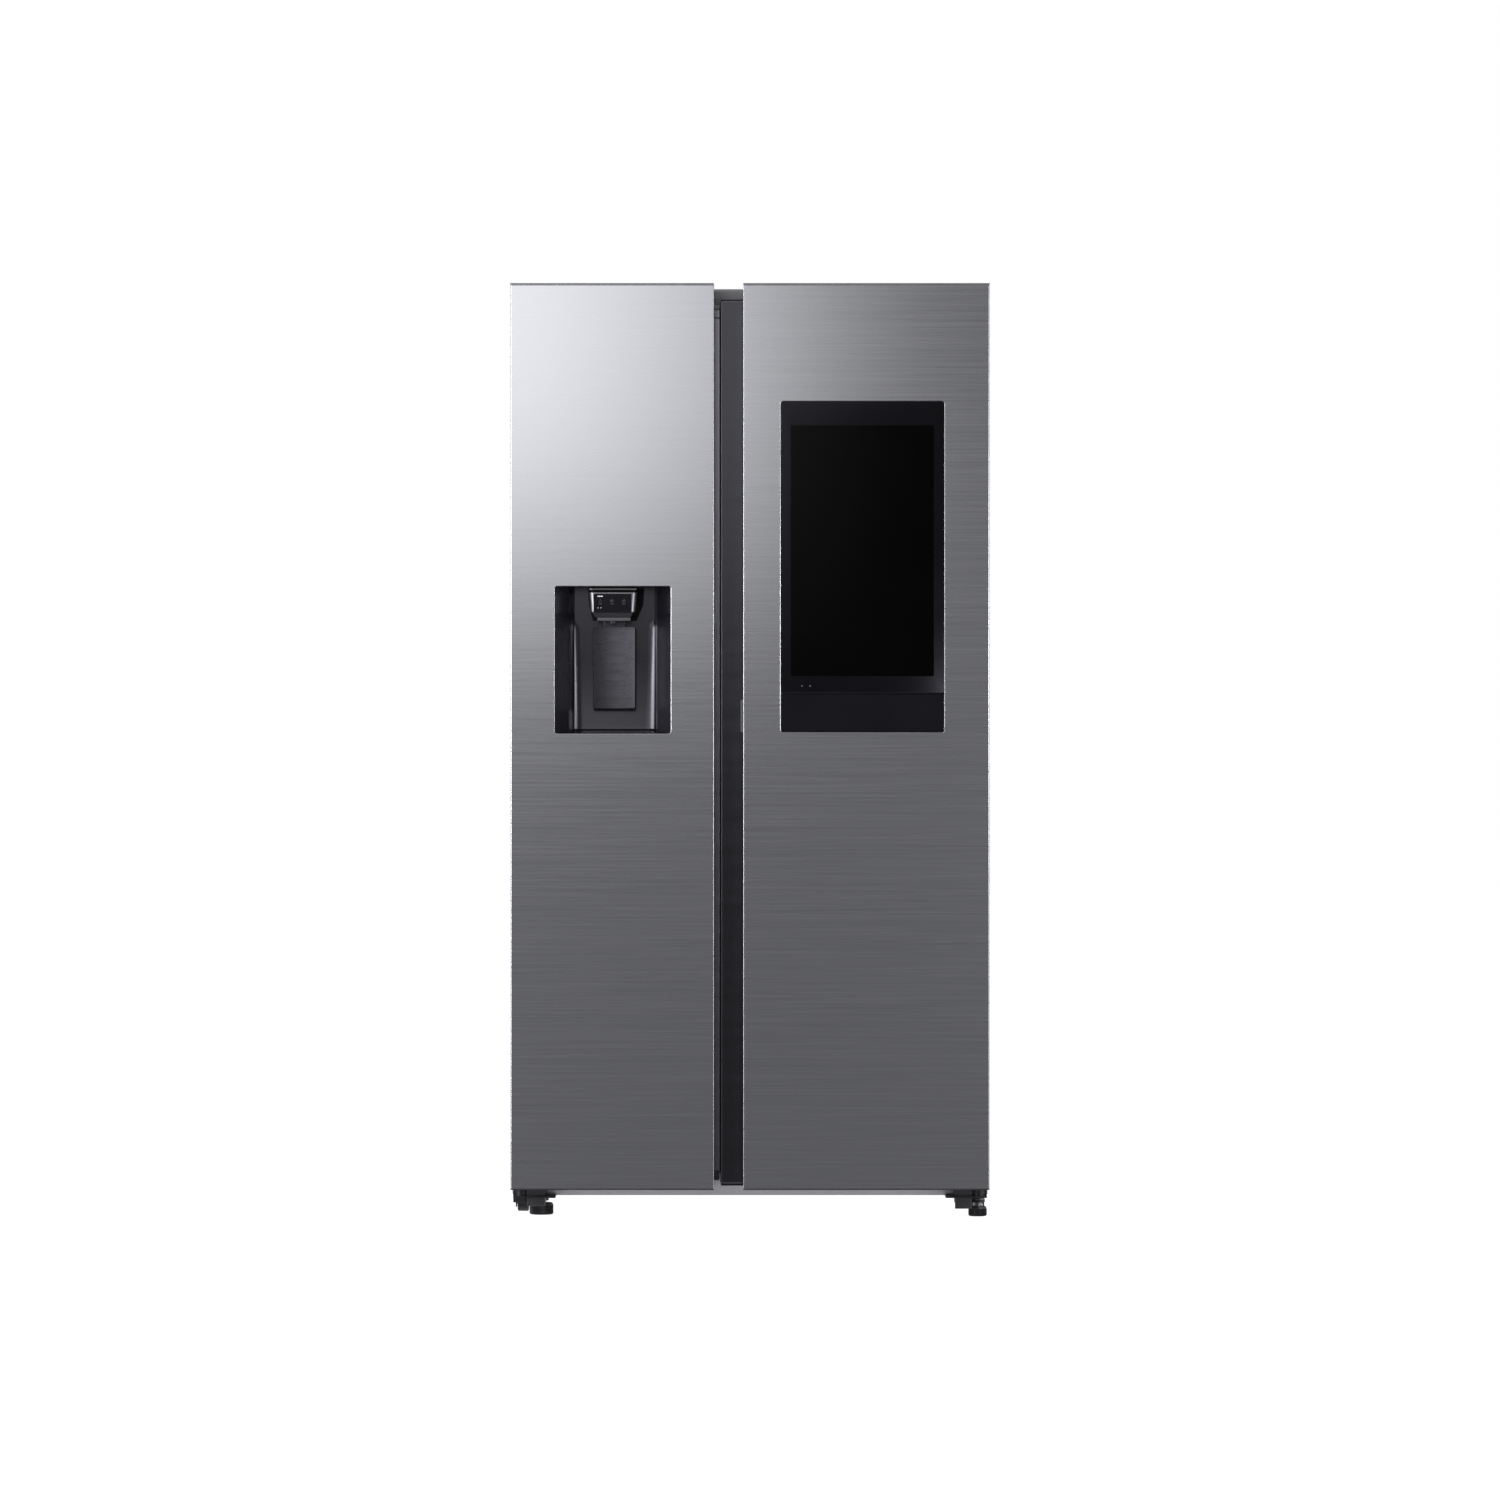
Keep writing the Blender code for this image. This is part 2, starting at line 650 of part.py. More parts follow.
def evaporator_cover():
    """Rear wall of the freezer, with the fan's mouth and two rows of air slots."""
    cover = tub(
        "evaporator_cover",
        (FREEZER_X[0] + 0.008, 0.236, STEP_TOP + CORNER),
        (FREEZER_X[1] - 0.008, CAVITY_BACK - 0.006, 1.300),
        0.002,
        white,
        open_towards=(0, 1, 0),
    )
    combine(cover, rod("fan_mouth", (-0.246, 0.22, 0.900), (-0.246, 0.25, 0.900), 0.050, None, 32))
    slots = []
    for x in (-0.335, -0.255, -0.175):
        for z in (1.130, 1.160, 1.190):
            slots.append(((x - 0.010, 0.22, z), (x + 0.030, 0.25, z + 0.008)))
    return combine(cover, blocks("air_slots", slots))


# ---------------------------------------------------------------- interior

def shelf(name, x_range, height, back=0.225):
    low = (x_range[0] + LINER + 0.001, SHELF_FRONT, height)
    high = (x_range[1] - LINER - 0.001, back, height + SHELF)
    return block(name, low, high, shelf_glass, 0.0015, 1)


def drawer(name, x_range, z_range, back, look):
    """An open-topped box that slides out towards the door."""
    low = (x_range[0] + LINER + 0.010, DRAWER_FRONT, z_range[0])
    high = (x_range[1] - LINER - 0.010, back, z_range[1])
    obj = tub(name, low, high, DRAWER_WALL, look, rounding=0.010)
    attach(joint_empty(name + "_slide", centre_of(low, high)), obj)


def interior():
    for level, height in FREEZER_SHELVES.items():
        shelf("freezer_shelf_" + level, FREEZER_X, height)
    for level, height in FRIDGE_SHELVES.items():
        shelf("fridge_shelf_" + level, FRIDGE_X, height, 0.285)
    shelf("crisper_cover", FRIDGE_X, CRISPER_COVER_Z, 0.285)
    drawer("freezer_drawer_lower", FREEZER_X, LOW_DRAWER_Z, 0.078, clear)
    drawer("freezer_drawer_upper", FREEZER_X, HIGH_DRAWER_Z, 0.228, clear)
    drawer("crisper_lower", FRIDGE_X, LOW_DRAWER_Z, 0.078, clear)
    drawer("crisper_upper", FRIDGE_X, HIGH_DRAWER_Z, 0.288, clear)
    low = (FREEZER_X[0] + 0.016, -0.100, 1.430)
    high = (FREEZER_X[1] - 0.016, 0.200, 1.660)
    block("ice_maker", low, high, white, 0.010, 2)


# ---------------------------------------------------------------- doors

class Door:
    """The sizes that one door's pieces share. side is -1 for the freezer and 1 for the fridge."""

    def __init__(self, name, side, panel_x, body_edge, cavity_x, grip_z):
        self.name = name
        self.side = side
        self.outer = panel_x[0] if side < 0 else panel_x[1]
        self.inner = panel_x[1] if side < 0 else panel_x[0]
        self.body_edge = body_edge
        self.cavity_x = cavity_x
        self.grip_z = grip_z
        self.hinge_x = side * HINGE_X

    def x_span(self, start, end):
        return tuple(sorted((start, end)))

    def box(self, start_x, end_x, y_range, z_range):
        x_range = self.x_span(start_x, end_x)
        return (x_range[0], y_range[0], z_range[0]), (x_range[1], y_range[1], z_range[1])


freezer = Door("freezer_door", -1, FREEZER_PANEL_X, FREEZER_BODY_EDGE, FREEZER_X, FREEZER_GRIP_Z)
fridge = Door("fridge_door", 1, FRIDGE_PANEL_X, FRIDGE_BODY_EDGE, FRIDGE_X, FRIDGE_GRIP_Z)


def hinge_notch(door, name):
    """Room for the upper hinge's arm at the door's rear top corner, as far as the door swings."""
    x_ends = (door.outer + door.side * 0.01, door.side * 0.411)
    low, high = door.box(*x_ends, (-0.313, -0.22), (CASE_TOP - 0.0005, 1.9))
    return block(name, low, high)


def pin_hole(door, name, z_range):
    return rod(name, (door.hinge_x, HINGE_Y, z_range[0]), (door.hinge_x, HINGE_Y, z_range[1]), PIN_HOLE)


def window(name, x_range, z_range, depth, corner):
    """A cutter for a rounded rectangular opening in the door's face."""
    bm = box_mesh((x_range[0], FRONT - 0.02, z_range[0]), (x_range[1], FRONT + depth, z_range[1]))
    along = [e for e in bm.edges if abs((e.verts[0].co - e.verts[1].co).y) > 0.01]
    bmesh.ops.bevel(bm, geom=along, offset=corner, segments=3, profile=0.5, affect="EDGES")
    return finished(name, bm, (0, 0, 0))


def rounded_box_mesh(low, high, corner):
    """A box whose front upright edges are rounded."""
    bm = box_mesh(low, high)
    upright = [e for e in bm.edges if abs((e.verts[0].co - e.verts[1].co).z) > 1e-4]
    front = [e for e in upright if e.verts[0].co.y < low[1] + 1e-4]
    bmesh.ops.bevel(bm, geom=front, offset=corner, segments=3, profile=0.5, affect="EDGES")
    return bm


def door_panel(door):
    """The brushed sheet: face, hinge-side return and the short fold that fingers pull on."""
    corners = [
        (door.outer, DOOR_BACK - 0.0015),
        (door.outer, FRONT),
        (door.inner, FRONT),
        (door.inner, GRIP_FRONT),
    ]
    offset = 1.0 if door.side < 0 else -1.0
    z_range = (DOOR_BOTTOM + EDGE_TRIM + GAP, DOOR_TOP - EDGE_TRIM - GAP)
    obj = folded_sheet(door.name + "_panel", corners, z_range, steel, SKIN, PANEL_FOLD, offset)
    return combine(obj, hinge_notch(door, door.name + "_panel_notch"))


def door_foam(door):
    """The door's core, with the ridge on its inner face and the finger recess cut from its edge."""
    name = door.name + "_foam"
    inset = SKIN + GAP
    side = door.side
    low, high = door.box(
        door.outer - side * inset,
        door.body_edge + side * 0.0018,
        (FRONT + inset, DOOR_BACK - 0.0018),
        (CAP_BOTTOM_END + GAP, CAP_TOP_START - GAP),
    )
    bm = rounded_box_mesh(low, high, PANEL_FOLD - SKIN)
    raise_ridge(bm, faces_towards(bm, (0, 1, 0)), door, 0.0, DIKE - 0.0004)
    obj = finished(name, bm, centre_of(low, high), foam_look)
    face_edge = door.inner + side * (inset + 0.0012)
    beyond = door.body_edge - side * 0.05
    grip_back = GRIP_BACK + 0.0018
    recess_edge = door.inner + side * (GRIP_REACH + 0.0018)
    removed = {
        "_beside_face": (face_edge, beyond, (-0.5, grip_back), (0.0, 2.0)),
        "_recess": (recess_edge, beyond, (GRIP_FRONT - 0.0018, grip_back), (-0.1, 2.1)),
    }
    if door.grip_z[1] < high[2]:
        past_face = face_edge + side * 0.002
        removed["_above_edge"] = (past_face, beyond, (-0.6, 0.0), (door.grip_z[1] - 0.0005, 2.2))
        removed["_below_edge"] = (past_face, beyond, (-0.6, 0.0), (-0.2, door.grip_z[0] + 0.0005))
    for suffix, (start, end, y_range, z_range) in removed.items():
        combine(obj, block(name + suffix, *door.box(start, end, y_range, z_range)))
    return combine(obj, pin_hole(door, name + "_pin_hole", (1.7280, 1.76)))


def raise_ridge(bm, back, door, play, height):
    """Insets the door's back face into border, ridge and inner floor."""
    face = back[0]
    low_x, high_x = (door.cavity_x[0] + RIDGE_CLEARANCE, door.cavity_x[1] - RIDGE_CLEARANCE)
    low_z, high_z = (CAVITY_Z[0] + RIDGE_CLEARANCE, CAVITY_Z[1] - RIDGE_CLEARANCE)
    rings = (
        (0.0018 + play, 0.0),
        (0.0050 + play, height),
        (DIKE_WIDTH - 0.0050 - play, height),
        (DIKE_WIDTH - 0.0018 - play, 0.0),
    )
    base = face.verts[0].co.y
    for inward, rise in rings:
        bmesh.ops.inset_region(bm, faces=[face], thickness=0.001, depth=0.0, use_boundary=True)
        for vert in face.verts:
            vert.co.x = low_x + inward if vert.co.x < (low_x + high_x) / 2 else high_x - inward
            vert.co.z = low_z + inward if vert.co.z < (low_z + high_z) / 2 else high_z - inward
            vert.co.y = base + rise


def door_liner(door):
    """The white inner skin that follows the ridge."""
    low, high = door.box(
        door.outer - door.side * (SKIN + GAP),
        door.body_edge + door.side * 0.0018,
        (DOOR_BACK - 0.01, DOOR_BACK),
        (CAP_BOTTOM_END + GAP, CAP_TOP_START - GAP),
    )
    if door.side < 0:
        low = (low[0], low[1], door.grip_z[0] + 0.001)
        high = (high[0], high[1], door.grip_z[1] - 0.001)
    bm = box_mesh(low, high)
    back = faces_towards(bm, (0, 1, 0))
    bmesh.ops.delete(bm, geom=[f for f in bm.faces if f not in back], context="FACES")
    raise_ridge(bm, back, door, -0.0018, DIKE)
    mesh_object = finished(door.name + "_liner", bm, centre_of(low, high), white)
    for polygon in mesh_object.data.polygons:
        if polygon.normal.y < -0.5:
            mesh_object.data.flip_normals()
            break
    return solidify(mesh_object, 0.0015)


def door_gasket(door):
    """Magnetic seal: a soft frame clipped to the liner."""
    outer = door.side * 0.434
    inner = door.body_edge + door.side * 0.0035
    y_range = (DOOR_BACK + GAP, CASE_FRONT - GAP)
    z_range = (0.0925 if door.side < 0 else 0.0785, 1.7140)
    leg = 0.0175
    low, high = door.box(outer, inner, y_range, z_range)
    obj = block(door.name + "_gasket", low, high, rubber)
    hole_low = (low[0] + leg, low[1] - 0.01, low[2] + (0.012 if door.side < 0 else leg))
    hole_high = (high[0] - leg, high[1] + 0.01, high[2] - leg)
    return combine(obj, block(door.name + "_gasket_hole", hole_low, hole_high))


def door_cap(door, name, is_top):
    """Moulded end cap: a plug between the skins, with a thin lip over the sheet's edge."""
    inset = SKIN + GAP
    z_range = (CAP_TOP_START, DOOR_TOP - EDGE_TRIM) if is_top else (DOOR_BOTTOM + EDGE_TRIM, CAP_BOTTOM_END)
    low, high = door.box(
        door.outer - door.side * inset,
        door.inner + door.side * inset,
        (FRONT + inset, DOOR_BACK),
        z_range,
    )
    cap = finished(name, rounded_box_mesh(low, high, PANEL_FOLD - SKIN), centre_of(low, high), grey_plastic)
    lip_z = (DOOR_TOP - EDGE_TRIM, DOOR_TOP) if is_top else (DOOR_BOTTOM, DOOR_BOTTOM + EDGE_TRIM)
    lip_low, lip_high = door.box(door.outer, door.inner, (FRONT, DOOR_BACK), lip_z)
    lip_mesh = rounded_box_mesh(lip_low, lip_high, PANEL_FOLD)
    lip = finished(name + "_lip", lip_mesh, centre_of(lip_low, lip_high))
    seam = DOOR_TOP - EDGE_TRIM if is_top else DOOR_BOTTOM + EDGE_TRIM
    neck = block(
        name + "_neck",
        (low[0] + 0.002, low[1] + 0.002, seam - 0.0010),
        (high[0] - 0.002, high[1] - 0.002, seam + 0.0010),
    )
    if door.grip_z[1] > CAP_TOP_START:
        room_z = (1.0, door.grip_z[1] + GAP) if is_top else (door.grip_z[0] - GAP, 1.0)
        reach = door.inner + door.side * (GRIP_REACH + 0.002)
        combine(cap, block(name + "_grip_room", *door.box(door.inner - 0.05, reach, (-0.5, -0.1), room_z)))
    combine(cap, neck, "UNION")
    combine(cap, lip, "UNION")
    if is_top:
        combine(cap, hinge_notch(door, name + "_notch"))
        return combine(cap, pin_hole(door, name + "_pin_hole", (1.7280, 1.76)))
    return combine(cap, pin_hole(door, name + "_pin_hole", (0.04, 0.0705)))


def door_handle(door):
    """The profile that lines the finger recess and wraps the door's inner edge."""
    corners = [
        (door.inner + door.side * 0.0016, GRIP_FRONT),
        (door.inner + door.side * GRIP_REACH, GRIP_FRONT),
        (door.inner + door.side * GRIP_REACH, GRIP_BACK),
        (door.body_edge, GRIP_BACK),
        (door.body_edge, DOOR_BACK - 0.0021),
    ]
    offset = 1.0 if door.side > 0 else -1.0
    return folded_sheet(door.name + "_handle", corners, door.grip_z, dark_steel, 0.0015, 0.002, -offset)


def bin_at(door, name, height):
    low, high = door.box(
        door.cavity_x[0] + 0.037,
        door.cavity_x[1] - 0.037,
        (BIN_BACK, BIN_FRONT),
        (height, height + BIN_HEIGHT),
    )
    return tub(name, low, high, 0.0025, clear, rounding=0.010)


def dispenser_shape(grow, ahead):
    """The recess: straight floor and ceiling, side walls that lean in towards a flat back."""
    slope = (DISPENSER_HALF - DISPENSER_BACK_HALF) / (DISPENSER_BACK - FRONT)
    front_half = DISPENSER_HALF + slope * ahead + 1.2 * grow
    back_half = DISPENSER_BACK_HALF + 1.2 * grow
    low = (DISPENSER_X - front_half, FRONT - ahead, DISPENSER_Z[0] - grow)
    high = (DISPENSER_X + front_half, DISPENSER_BACK + grow, DISPENSER_Z[1] + grow)
    bm = box_mesh(low, high)
    for vert in bm.verts:
        if vert.co.y > DISPENSER_BACK - 0.001:
            vert.co.x = DISPENSER_X + math.copysign(back_half, vert.co.x - DISPENSER_X)
    return bm, low, high


def dispenser(door):
    """Recess, control head with its spout, and the sprung lever that a glass pushes."""
    bm, low, high = dispenser_shape(-GAP, -0.0012)
    bmesh.ops.delete(bm, geom=faces_towards(bm, (0, -1, 0)), context="FACES")
    housing = finished("dispenser_housing", bm, centre_of(low, high), black_gloss)
    bevel(housing, 0.005, 3)
    solidify(housing, 0.002)

    centre = DISPENSER_X
    bm = box_mesh((centre - 0.0462, -0.351, 1.1565), (centre + 0.0462, -0.2890, 1.1995))
    for vert in bm.verts:
        if vert.co.z < 1.17:
            vert.co.x = centre + (vert.co.x - centre) * 0.925
            if vert.co.y < -0.32:
                vert.co.y += 0.004
    head = finished("dispenser_head", bm, (centre, -0.320, 1.178), black_gloss)
    bevel(head, 0.0015, 1)
    spout_high = (centre + 0.0315, -0.3125, 1.158)
    spout = block("spout", (centre - 0.0315, -0.343, 1.1385), spout_high, None, 0.001, 1)
    combine(head, spout, "UNION")

    plate_low = (centre - LEVER_HALF, -0.312, LEVER_Z[0])
    plate_high = (centre + LEVER_HALF, -0.308, LEVER_Z[1])
    lever = block("dispenser_lever", plate_low, plate_high, dark_steel, 0.0015, 1)
    arm = block("lever_arm", (centre - 0.015, -0.309, 1.095), (centre + 0.015, -0.3035, 1.147))
    reach = Vector((0.022, 0, 0))
    barrel = rod("lever_barrel", LEVER_PIVOT - reach, LEVER_PIVOT + reach, 0.0035, None, 16)
    combine(lever, arm, "UNION")
    combine(lever, barrel, "UNION")
    lever_axis = joint_empty("dispenser_lever_axis", LEVER_PIVOT)
    attach(lever_axis, lever, arm, barrel)

    bm, low, high = dispenser_shape(GAP, 0.01)
    hollow = finished("dispenser_hollow", bm, centre_of(low, high))
    combine(bpy.data.objects[door.name + "_foam"], hollow)
    x_range = (DISPENSER_X - DISPENSER_HALF, DISPENSER_X + DISPENSER_HALF)
    opening = window("dispenser_window", x_range, DISPENSER_Z, 0.01, 0.005)
    combine(bpy.data.objects[door.name + "_panel"], opening)
    return [housing, head, lever_axis]


def display(door):
    """Glass-fronted screen with a speaker grille below, in a housing let into the door."""
    low = Vector((DISPLAY_X[0] + GAP, FRONT + GLASS + GAP, DISPLAY_Z[0] + GAP))
    high = Vector((DISPLAY_X[1] - GAP, FRONT + 0.026, DISPLAY_Z[1] - GAP))
    front = (0, -1, 0)
    housing = tub("display_housing", low, high, 0.002, black_plastic, front, rounding=0.005)
    glass_low = (low.x, FRONT, DISPLAY_SPLIT)
    glass = block("display_glass", glass_low, (high.x, FRONT + GLASS, high.z), black_gloss, 0.0006, 1)
    grille_high = (high.x, FRONT + GLASS, DISPLAY_SPLIT - 0.0004)
    grille = block("speaker_grille", (low.x, FRONT, low.z), grille_high, black_plastic, 0.0006, 1)
    pocket = block("display_pocket", low - Vector((GAP, 0.02, GAP)), high + Vector((GAP, GAP, GAP)))
    combine(bpy.data.objects[door.name + "_foam"], pocket)
    opening = window("display_window", DISPLAY_X, DISPLAY_Z, 0.01, 0.001)
    combine(bpy.data.objects[door.name + "_panel"], opening)
    return [housing, glass, grille]


def build_door(door, bins, extras):
    """All pieces of one door, parented to an empty on its hinge axis."""
    pieces = [
        door_panel(door),
        door_foam(door),
        door_liner(door),
        door_gasket(door),
        door_cap(door, door.name + "_top_cap", True),
        door_cap(door, door.name + "_bottom_cap", False),
        door_handle(door),
    ]
    prefix = door.name.split("_")[0]
    for level, height in bins.items():
        pieces.append(bin_at(door, f"{prefix}_bin_{level}", height))
    pieces += extras(door)
    attach(joint_empty(door.name + "_hinge", Vector((door.hinge_x, HINGE_Y, HEIGHT / 2))), *pieces)


# ---------------------------------------------------------------- assembly

cabinet_shell()
cabinet_foam()
liner("freezer_liner", FREEZER_X, FREEZER_SHELVES.values())
liner("fridge_liner", FRIDGE_X, [CRISPER_COVER_Z, *FRIDGE_SHELVES.values()])
front_frame()
base_plate()
rear_covers()
top_cover()
upper_hinge("upper_hinge_left", -1)
upper_hinge("upper_hinge_right", 1)
lower_hinge("lower_hinge_left", -1, 0.372)
lower_hinge("lower_hinge_right", 1, 0.374)
compressor()
condenser()
evaporator()
evaporator_cover()
interior()
fan("evaporator_fan", Vector((-0.246, 0.268, 0.900)), "Y", 0.016, 0.046, 5, grey_plastic)
fan("condenser_fan", Vector((-0.020, 0.235, 0.150)), "X", 0.020, 0.070, 5, grey_plastic)
foot("foot_left", LEFT_FOOT, 0.023, 0.0225)
foot("foot_right", RIGHT_FOOT, 0.0178, 0.0190)
roller("front_roller_left", -FRONT_ROLLER_X, FRONT_ROLLER_Y, 0.0185, 0.017)
roller("front_roller_right", FRONT_ROLLER_X, FRONT_ROLLER_Y, 0.0185, 0.017)
roller("rear_roller_left", -REAR_ROLLER_X, REAR_ROLLER_Y, 0.020, 0.020)
roller("rear_roller_right", REAR_ROLLER_X, REAR_ROLLER_Y, 0.020, 0.020)
build_door(freezer, FREEZER_BINS, dispenser)
build_door(fridge, FRIDGE_BINS, display)
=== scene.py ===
"""Looks of the side by side refrigerator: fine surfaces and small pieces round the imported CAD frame.

Everything is in metres in the frame's own axes: +Z up, doors towards -Y, floor at z = 0.
"""

import math

import bmesh
import bpy
from mathutils import Matrix, Vector


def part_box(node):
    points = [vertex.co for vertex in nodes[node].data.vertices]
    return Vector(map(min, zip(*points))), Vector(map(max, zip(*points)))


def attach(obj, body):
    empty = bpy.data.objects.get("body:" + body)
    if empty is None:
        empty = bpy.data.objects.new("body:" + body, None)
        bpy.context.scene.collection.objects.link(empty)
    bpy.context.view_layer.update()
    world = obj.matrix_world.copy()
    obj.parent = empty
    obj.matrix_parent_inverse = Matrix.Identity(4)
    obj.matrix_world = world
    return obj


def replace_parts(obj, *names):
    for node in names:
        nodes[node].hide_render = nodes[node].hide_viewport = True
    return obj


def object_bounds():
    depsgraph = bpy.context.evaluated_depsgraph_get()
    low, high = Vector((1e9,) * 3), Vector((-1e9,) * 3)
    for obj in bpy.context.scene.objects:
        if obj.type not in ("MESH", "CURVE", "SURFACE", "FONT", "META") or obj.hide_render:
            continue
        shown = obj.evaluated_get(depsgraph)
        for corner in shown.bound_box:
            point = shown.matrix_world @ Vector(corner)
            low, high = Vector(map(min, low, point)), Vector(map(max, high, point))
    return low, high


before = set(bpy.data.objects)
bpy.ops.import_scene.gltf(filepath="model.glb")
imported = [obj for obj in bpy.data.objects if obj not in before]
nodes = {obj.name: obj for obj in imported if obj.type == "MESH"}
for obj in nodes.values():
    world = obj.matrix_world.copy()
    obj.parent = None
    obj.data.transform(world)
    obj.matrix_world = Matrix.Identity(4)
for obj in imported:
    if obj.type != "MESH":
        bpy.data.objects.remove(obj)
cad_low, cad_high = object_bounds()
scene = bpy.context.scene

# ---- sizes

FRONT = cad_low.y  # outer face of the doors
CAMERA_DISTANCE = 11.5  # from the doors' faces
CAMERA_HEIGHT = 0.8924
LENS = 145.2  # mm, as is the sensor
SENSOR = 36.0
SHEET = 0.001  # thickness of a door's face sheet
FOLD = 0.003  # radius of the sheet's outer upright edge
INNER_FOLD = 0.0016  # the same beside the finger recess
LIP_DEPTH = 0.018  # how far the sheet turns back beside the finger recess
EDGE_BEAD = 0.0017  # rolled edge along the top of both faces; its lighter steel is a painted highlight
HINGE_MARGIN = Vector((0.019, 0.020, 0.0))  # clear of an upper hinge while a door swings
TRIM = 0.0004  # width of the bright lines round the dispenser and display
NOISE_RANGE = (0.3, 0.7)  # where most of a noise texture's values lie
COOL_TINT = (0.88, 0.84, 1.0, 1.0)


def low(node):
    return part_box(node)[0]


def high(node):
    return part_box(node)[1]


def middle(node):
    return (low(node) + high(node)) / 2


# ---- material helpers

def coordinates(tree, scale):
    """Object coordinates times a scale, which is one number or one for each axis."""
    where = tree.nodes.new("ShaderNodeTexCoord")
    mapping = tree.nodes.new("ShaderNodeMapping")
    mapping.inputs["Scale"].default_value = scale if hasattr(scale, "__len__") else (scale,) * 3
    tree.links.new(where.outputs["Object"], mapping.inputs["Vector"])
    return mapping.outputs["Vector"]


def noise(tree, scale, detail=2.0):
    texture = tree.nodes.new("ShaderNodeTexNoise")
    texture.inputs["Scale"].default_value = 1.0
    texture.inputs["Detail"].default_value = detail
    tree.links.new(coordinates(tree, scale), texture.inputs["Vector"])
    return texture.outputs["Fac"]


def map_range(tree, source, source_range, target_range=(0.0, 1.0)):
    ranged = tree.nodes.new("ShaderNodeMapRange")
    sockets = ("From Min", "From Max", "To Min", "To Max")
    for socket, value in zip(sockets, (*source_range, *target_range)):
        ranged.inputs[socket].default_value = value
    tree.links.new(source, ranged.inputs["Value"])
    return ranged.outputs["Result"]


def tinted(tree, source, colour, tone):
    ramp = tree.nodes.new("ShaderNodeValToRGB")
    first, last = ramp.color_ramp.elements
    first.position, last.position = NOISE_RANGE
    first.color = (*(c * (1 - tone) for c in colour), 1.0)
    last.color = (*(min(1.0, c * (1 + tone)) for c in colour), 1.0)
    tree.links.new(source, ramp.inputs["Fac"])
    return ramp.outputs["Color"]


def surface(name, colour, rough, metallic=0.0, grain=900, patches=9, tone=0.05, play=0.15, relief=0.00002,
            tone_from_grain=False, rough_from_grain=False, sockets=None):
    """A Principled finish whose tone, gloss and fine relief vary over the surface."""
    made = bpy.data.materials.new(name)
    made.use_nodes = True
    tree = made.node_tree
    shader = tree.nodes["Principled BSDF"]
    fine = noise(tree, grain)
    broad = noise(tree, patches, 4.0)
    shader.inputs["Metallic"].default_value = metallic
    tone_source = fine if tone_from_grain else broad
    tree.links.new(tinted(tree, tone_source, colour, tone), shader.inputs["Base Color"])
    swing = play * rough
    rough_source = fine if rough_from_grain else broad
    rough_value = map_range(tree, rough_source, NOISE_RANGE, (rough - swing, rough + swing))
    tree.links.new(rough_value, shader.inputs["Roughness"])
    bump = tree.nodes.new("ShaderNodeBump")
    bump.inputs["Distance"].default_value = relief
    bump.inputs["Strength"].default_value = 1.0
    tree.links.new(fine, bump.inputs["Height"])
    tree.links.new(bump.outputs["Normal"], shader.inputs["Normal"])
    for socket, value in (sockets or {}).items():
        shader.inputs[socket].default_value = value
    return made


looks = {
    "brushed_steel": surface(
        "steel_brushed", (0.565, 0.57, 0.60), 0.285, 1.0, (5, 700, 1400), (0.8, 3, 60),
        tone=0.05, tone_from_grain=True, play=0.10, rough_from_grain=True, relief=0.000004,
    ),
    "dark_steel": surface(
        "aluminium_dark", (0.089, 0.086, 0.098), 0.36, 1.0, (8, 900, 1500), (3, 3, 40),
        tone=0.08, play=0.12, relief=0.000005,
    ),
    "case_paint": surface("paint_case", (0.36, 0.355, 0.38), 0.42, 0.0, 520, relief=0.00003),
    "frame_paint": surface("paint_frame", (0.35, 0.346, 0.37), 0.40, 0.0, 520),
    "zinc_plate": surface("zinc", (0.58, 0.585, 0.60), 0.40, 1.0, 260, 70, tone=0.05, play=0.2),
    "foam": surface("foam_core", (0.74, 0.62, 0.36), 0.9, 0.0, 420, 40, tone=0.12, relief=0.0004),
    "white_plastic": surface(
        "plastic_white", (0.78, 0.79, 0.80), 0.32, 0.0, 240, relief=0.000012, tone=0.012
    ),
    "grey_plastic": surface("plastic_grey", (0.115, 0.117, 0.125), 0.45, 0.0, 1500),
    "black_plastic": surface("plastic_black", (0.013, 0.0126, 0.0152), 0.42, 0.0, 1600),
    "black_gloss": surface("gloss_black", (0.006, 0.006, 0.007), 0.12, 0.0, 60, relief=0.000004),
    "display_glass": surface(
        "glass_black", (0.001, 0.001, 0.0014), 0.17, 0.0, 20, relief=0.000001,
        sockets={"Specular Tint": COOL_TINT, "Specular IOR Level": 0.42},
    ),
    "gasket_rubber": surface("rubber_gasket", (0.16, 0.16, 0.17), 0.7, 0.0, 1200, relief=0.00004),
    "clear_plastic": surface(
        "plastic_clear", (0.93, 0.955, 0.965), 0.10, 0.0, 200, relief=0.000004, tone=0.01,
        sockets={"Transmission Weight": 0.72, "IOR": 1.42},
    ),
    "shelf_glass": surface(
        "glass_shelf", (0.80, 0.93, 0.89), 0.03, 0.0, 60, relief=0.000001, tone=0.01,
        sockets={"Transmission Weight": 1.0, "IOR": 1.52},
    ),
    "black_enamel": surface("enamel_black", (0.012, 0.012, 0.013), 0.25, 0.0, 300),
    "condenser_coil": surface("coil_black", (0.03, 0.03, 0.03), 0.5, 0.2, 700, relief=0.00004),
    "evaporator_fins": surface("fins", (0.72, 0.73, 0.74), 0.3, 1.0, (30, 30, 900), relief=0.00001),
}
chrome = surface("trim_bright", (0.56, 0.565, 0.59), 0.26, 1.0, (40, 900, 900), relief=0.000002)
grip_light = surface(
    "aluminium_mid", (0.245, 0.24, 0.262), 0.36, 1.0, (8, 900, 1500), (3, 3, 40),
    tone=0.08, play=0.12, relief=0.000005,
)
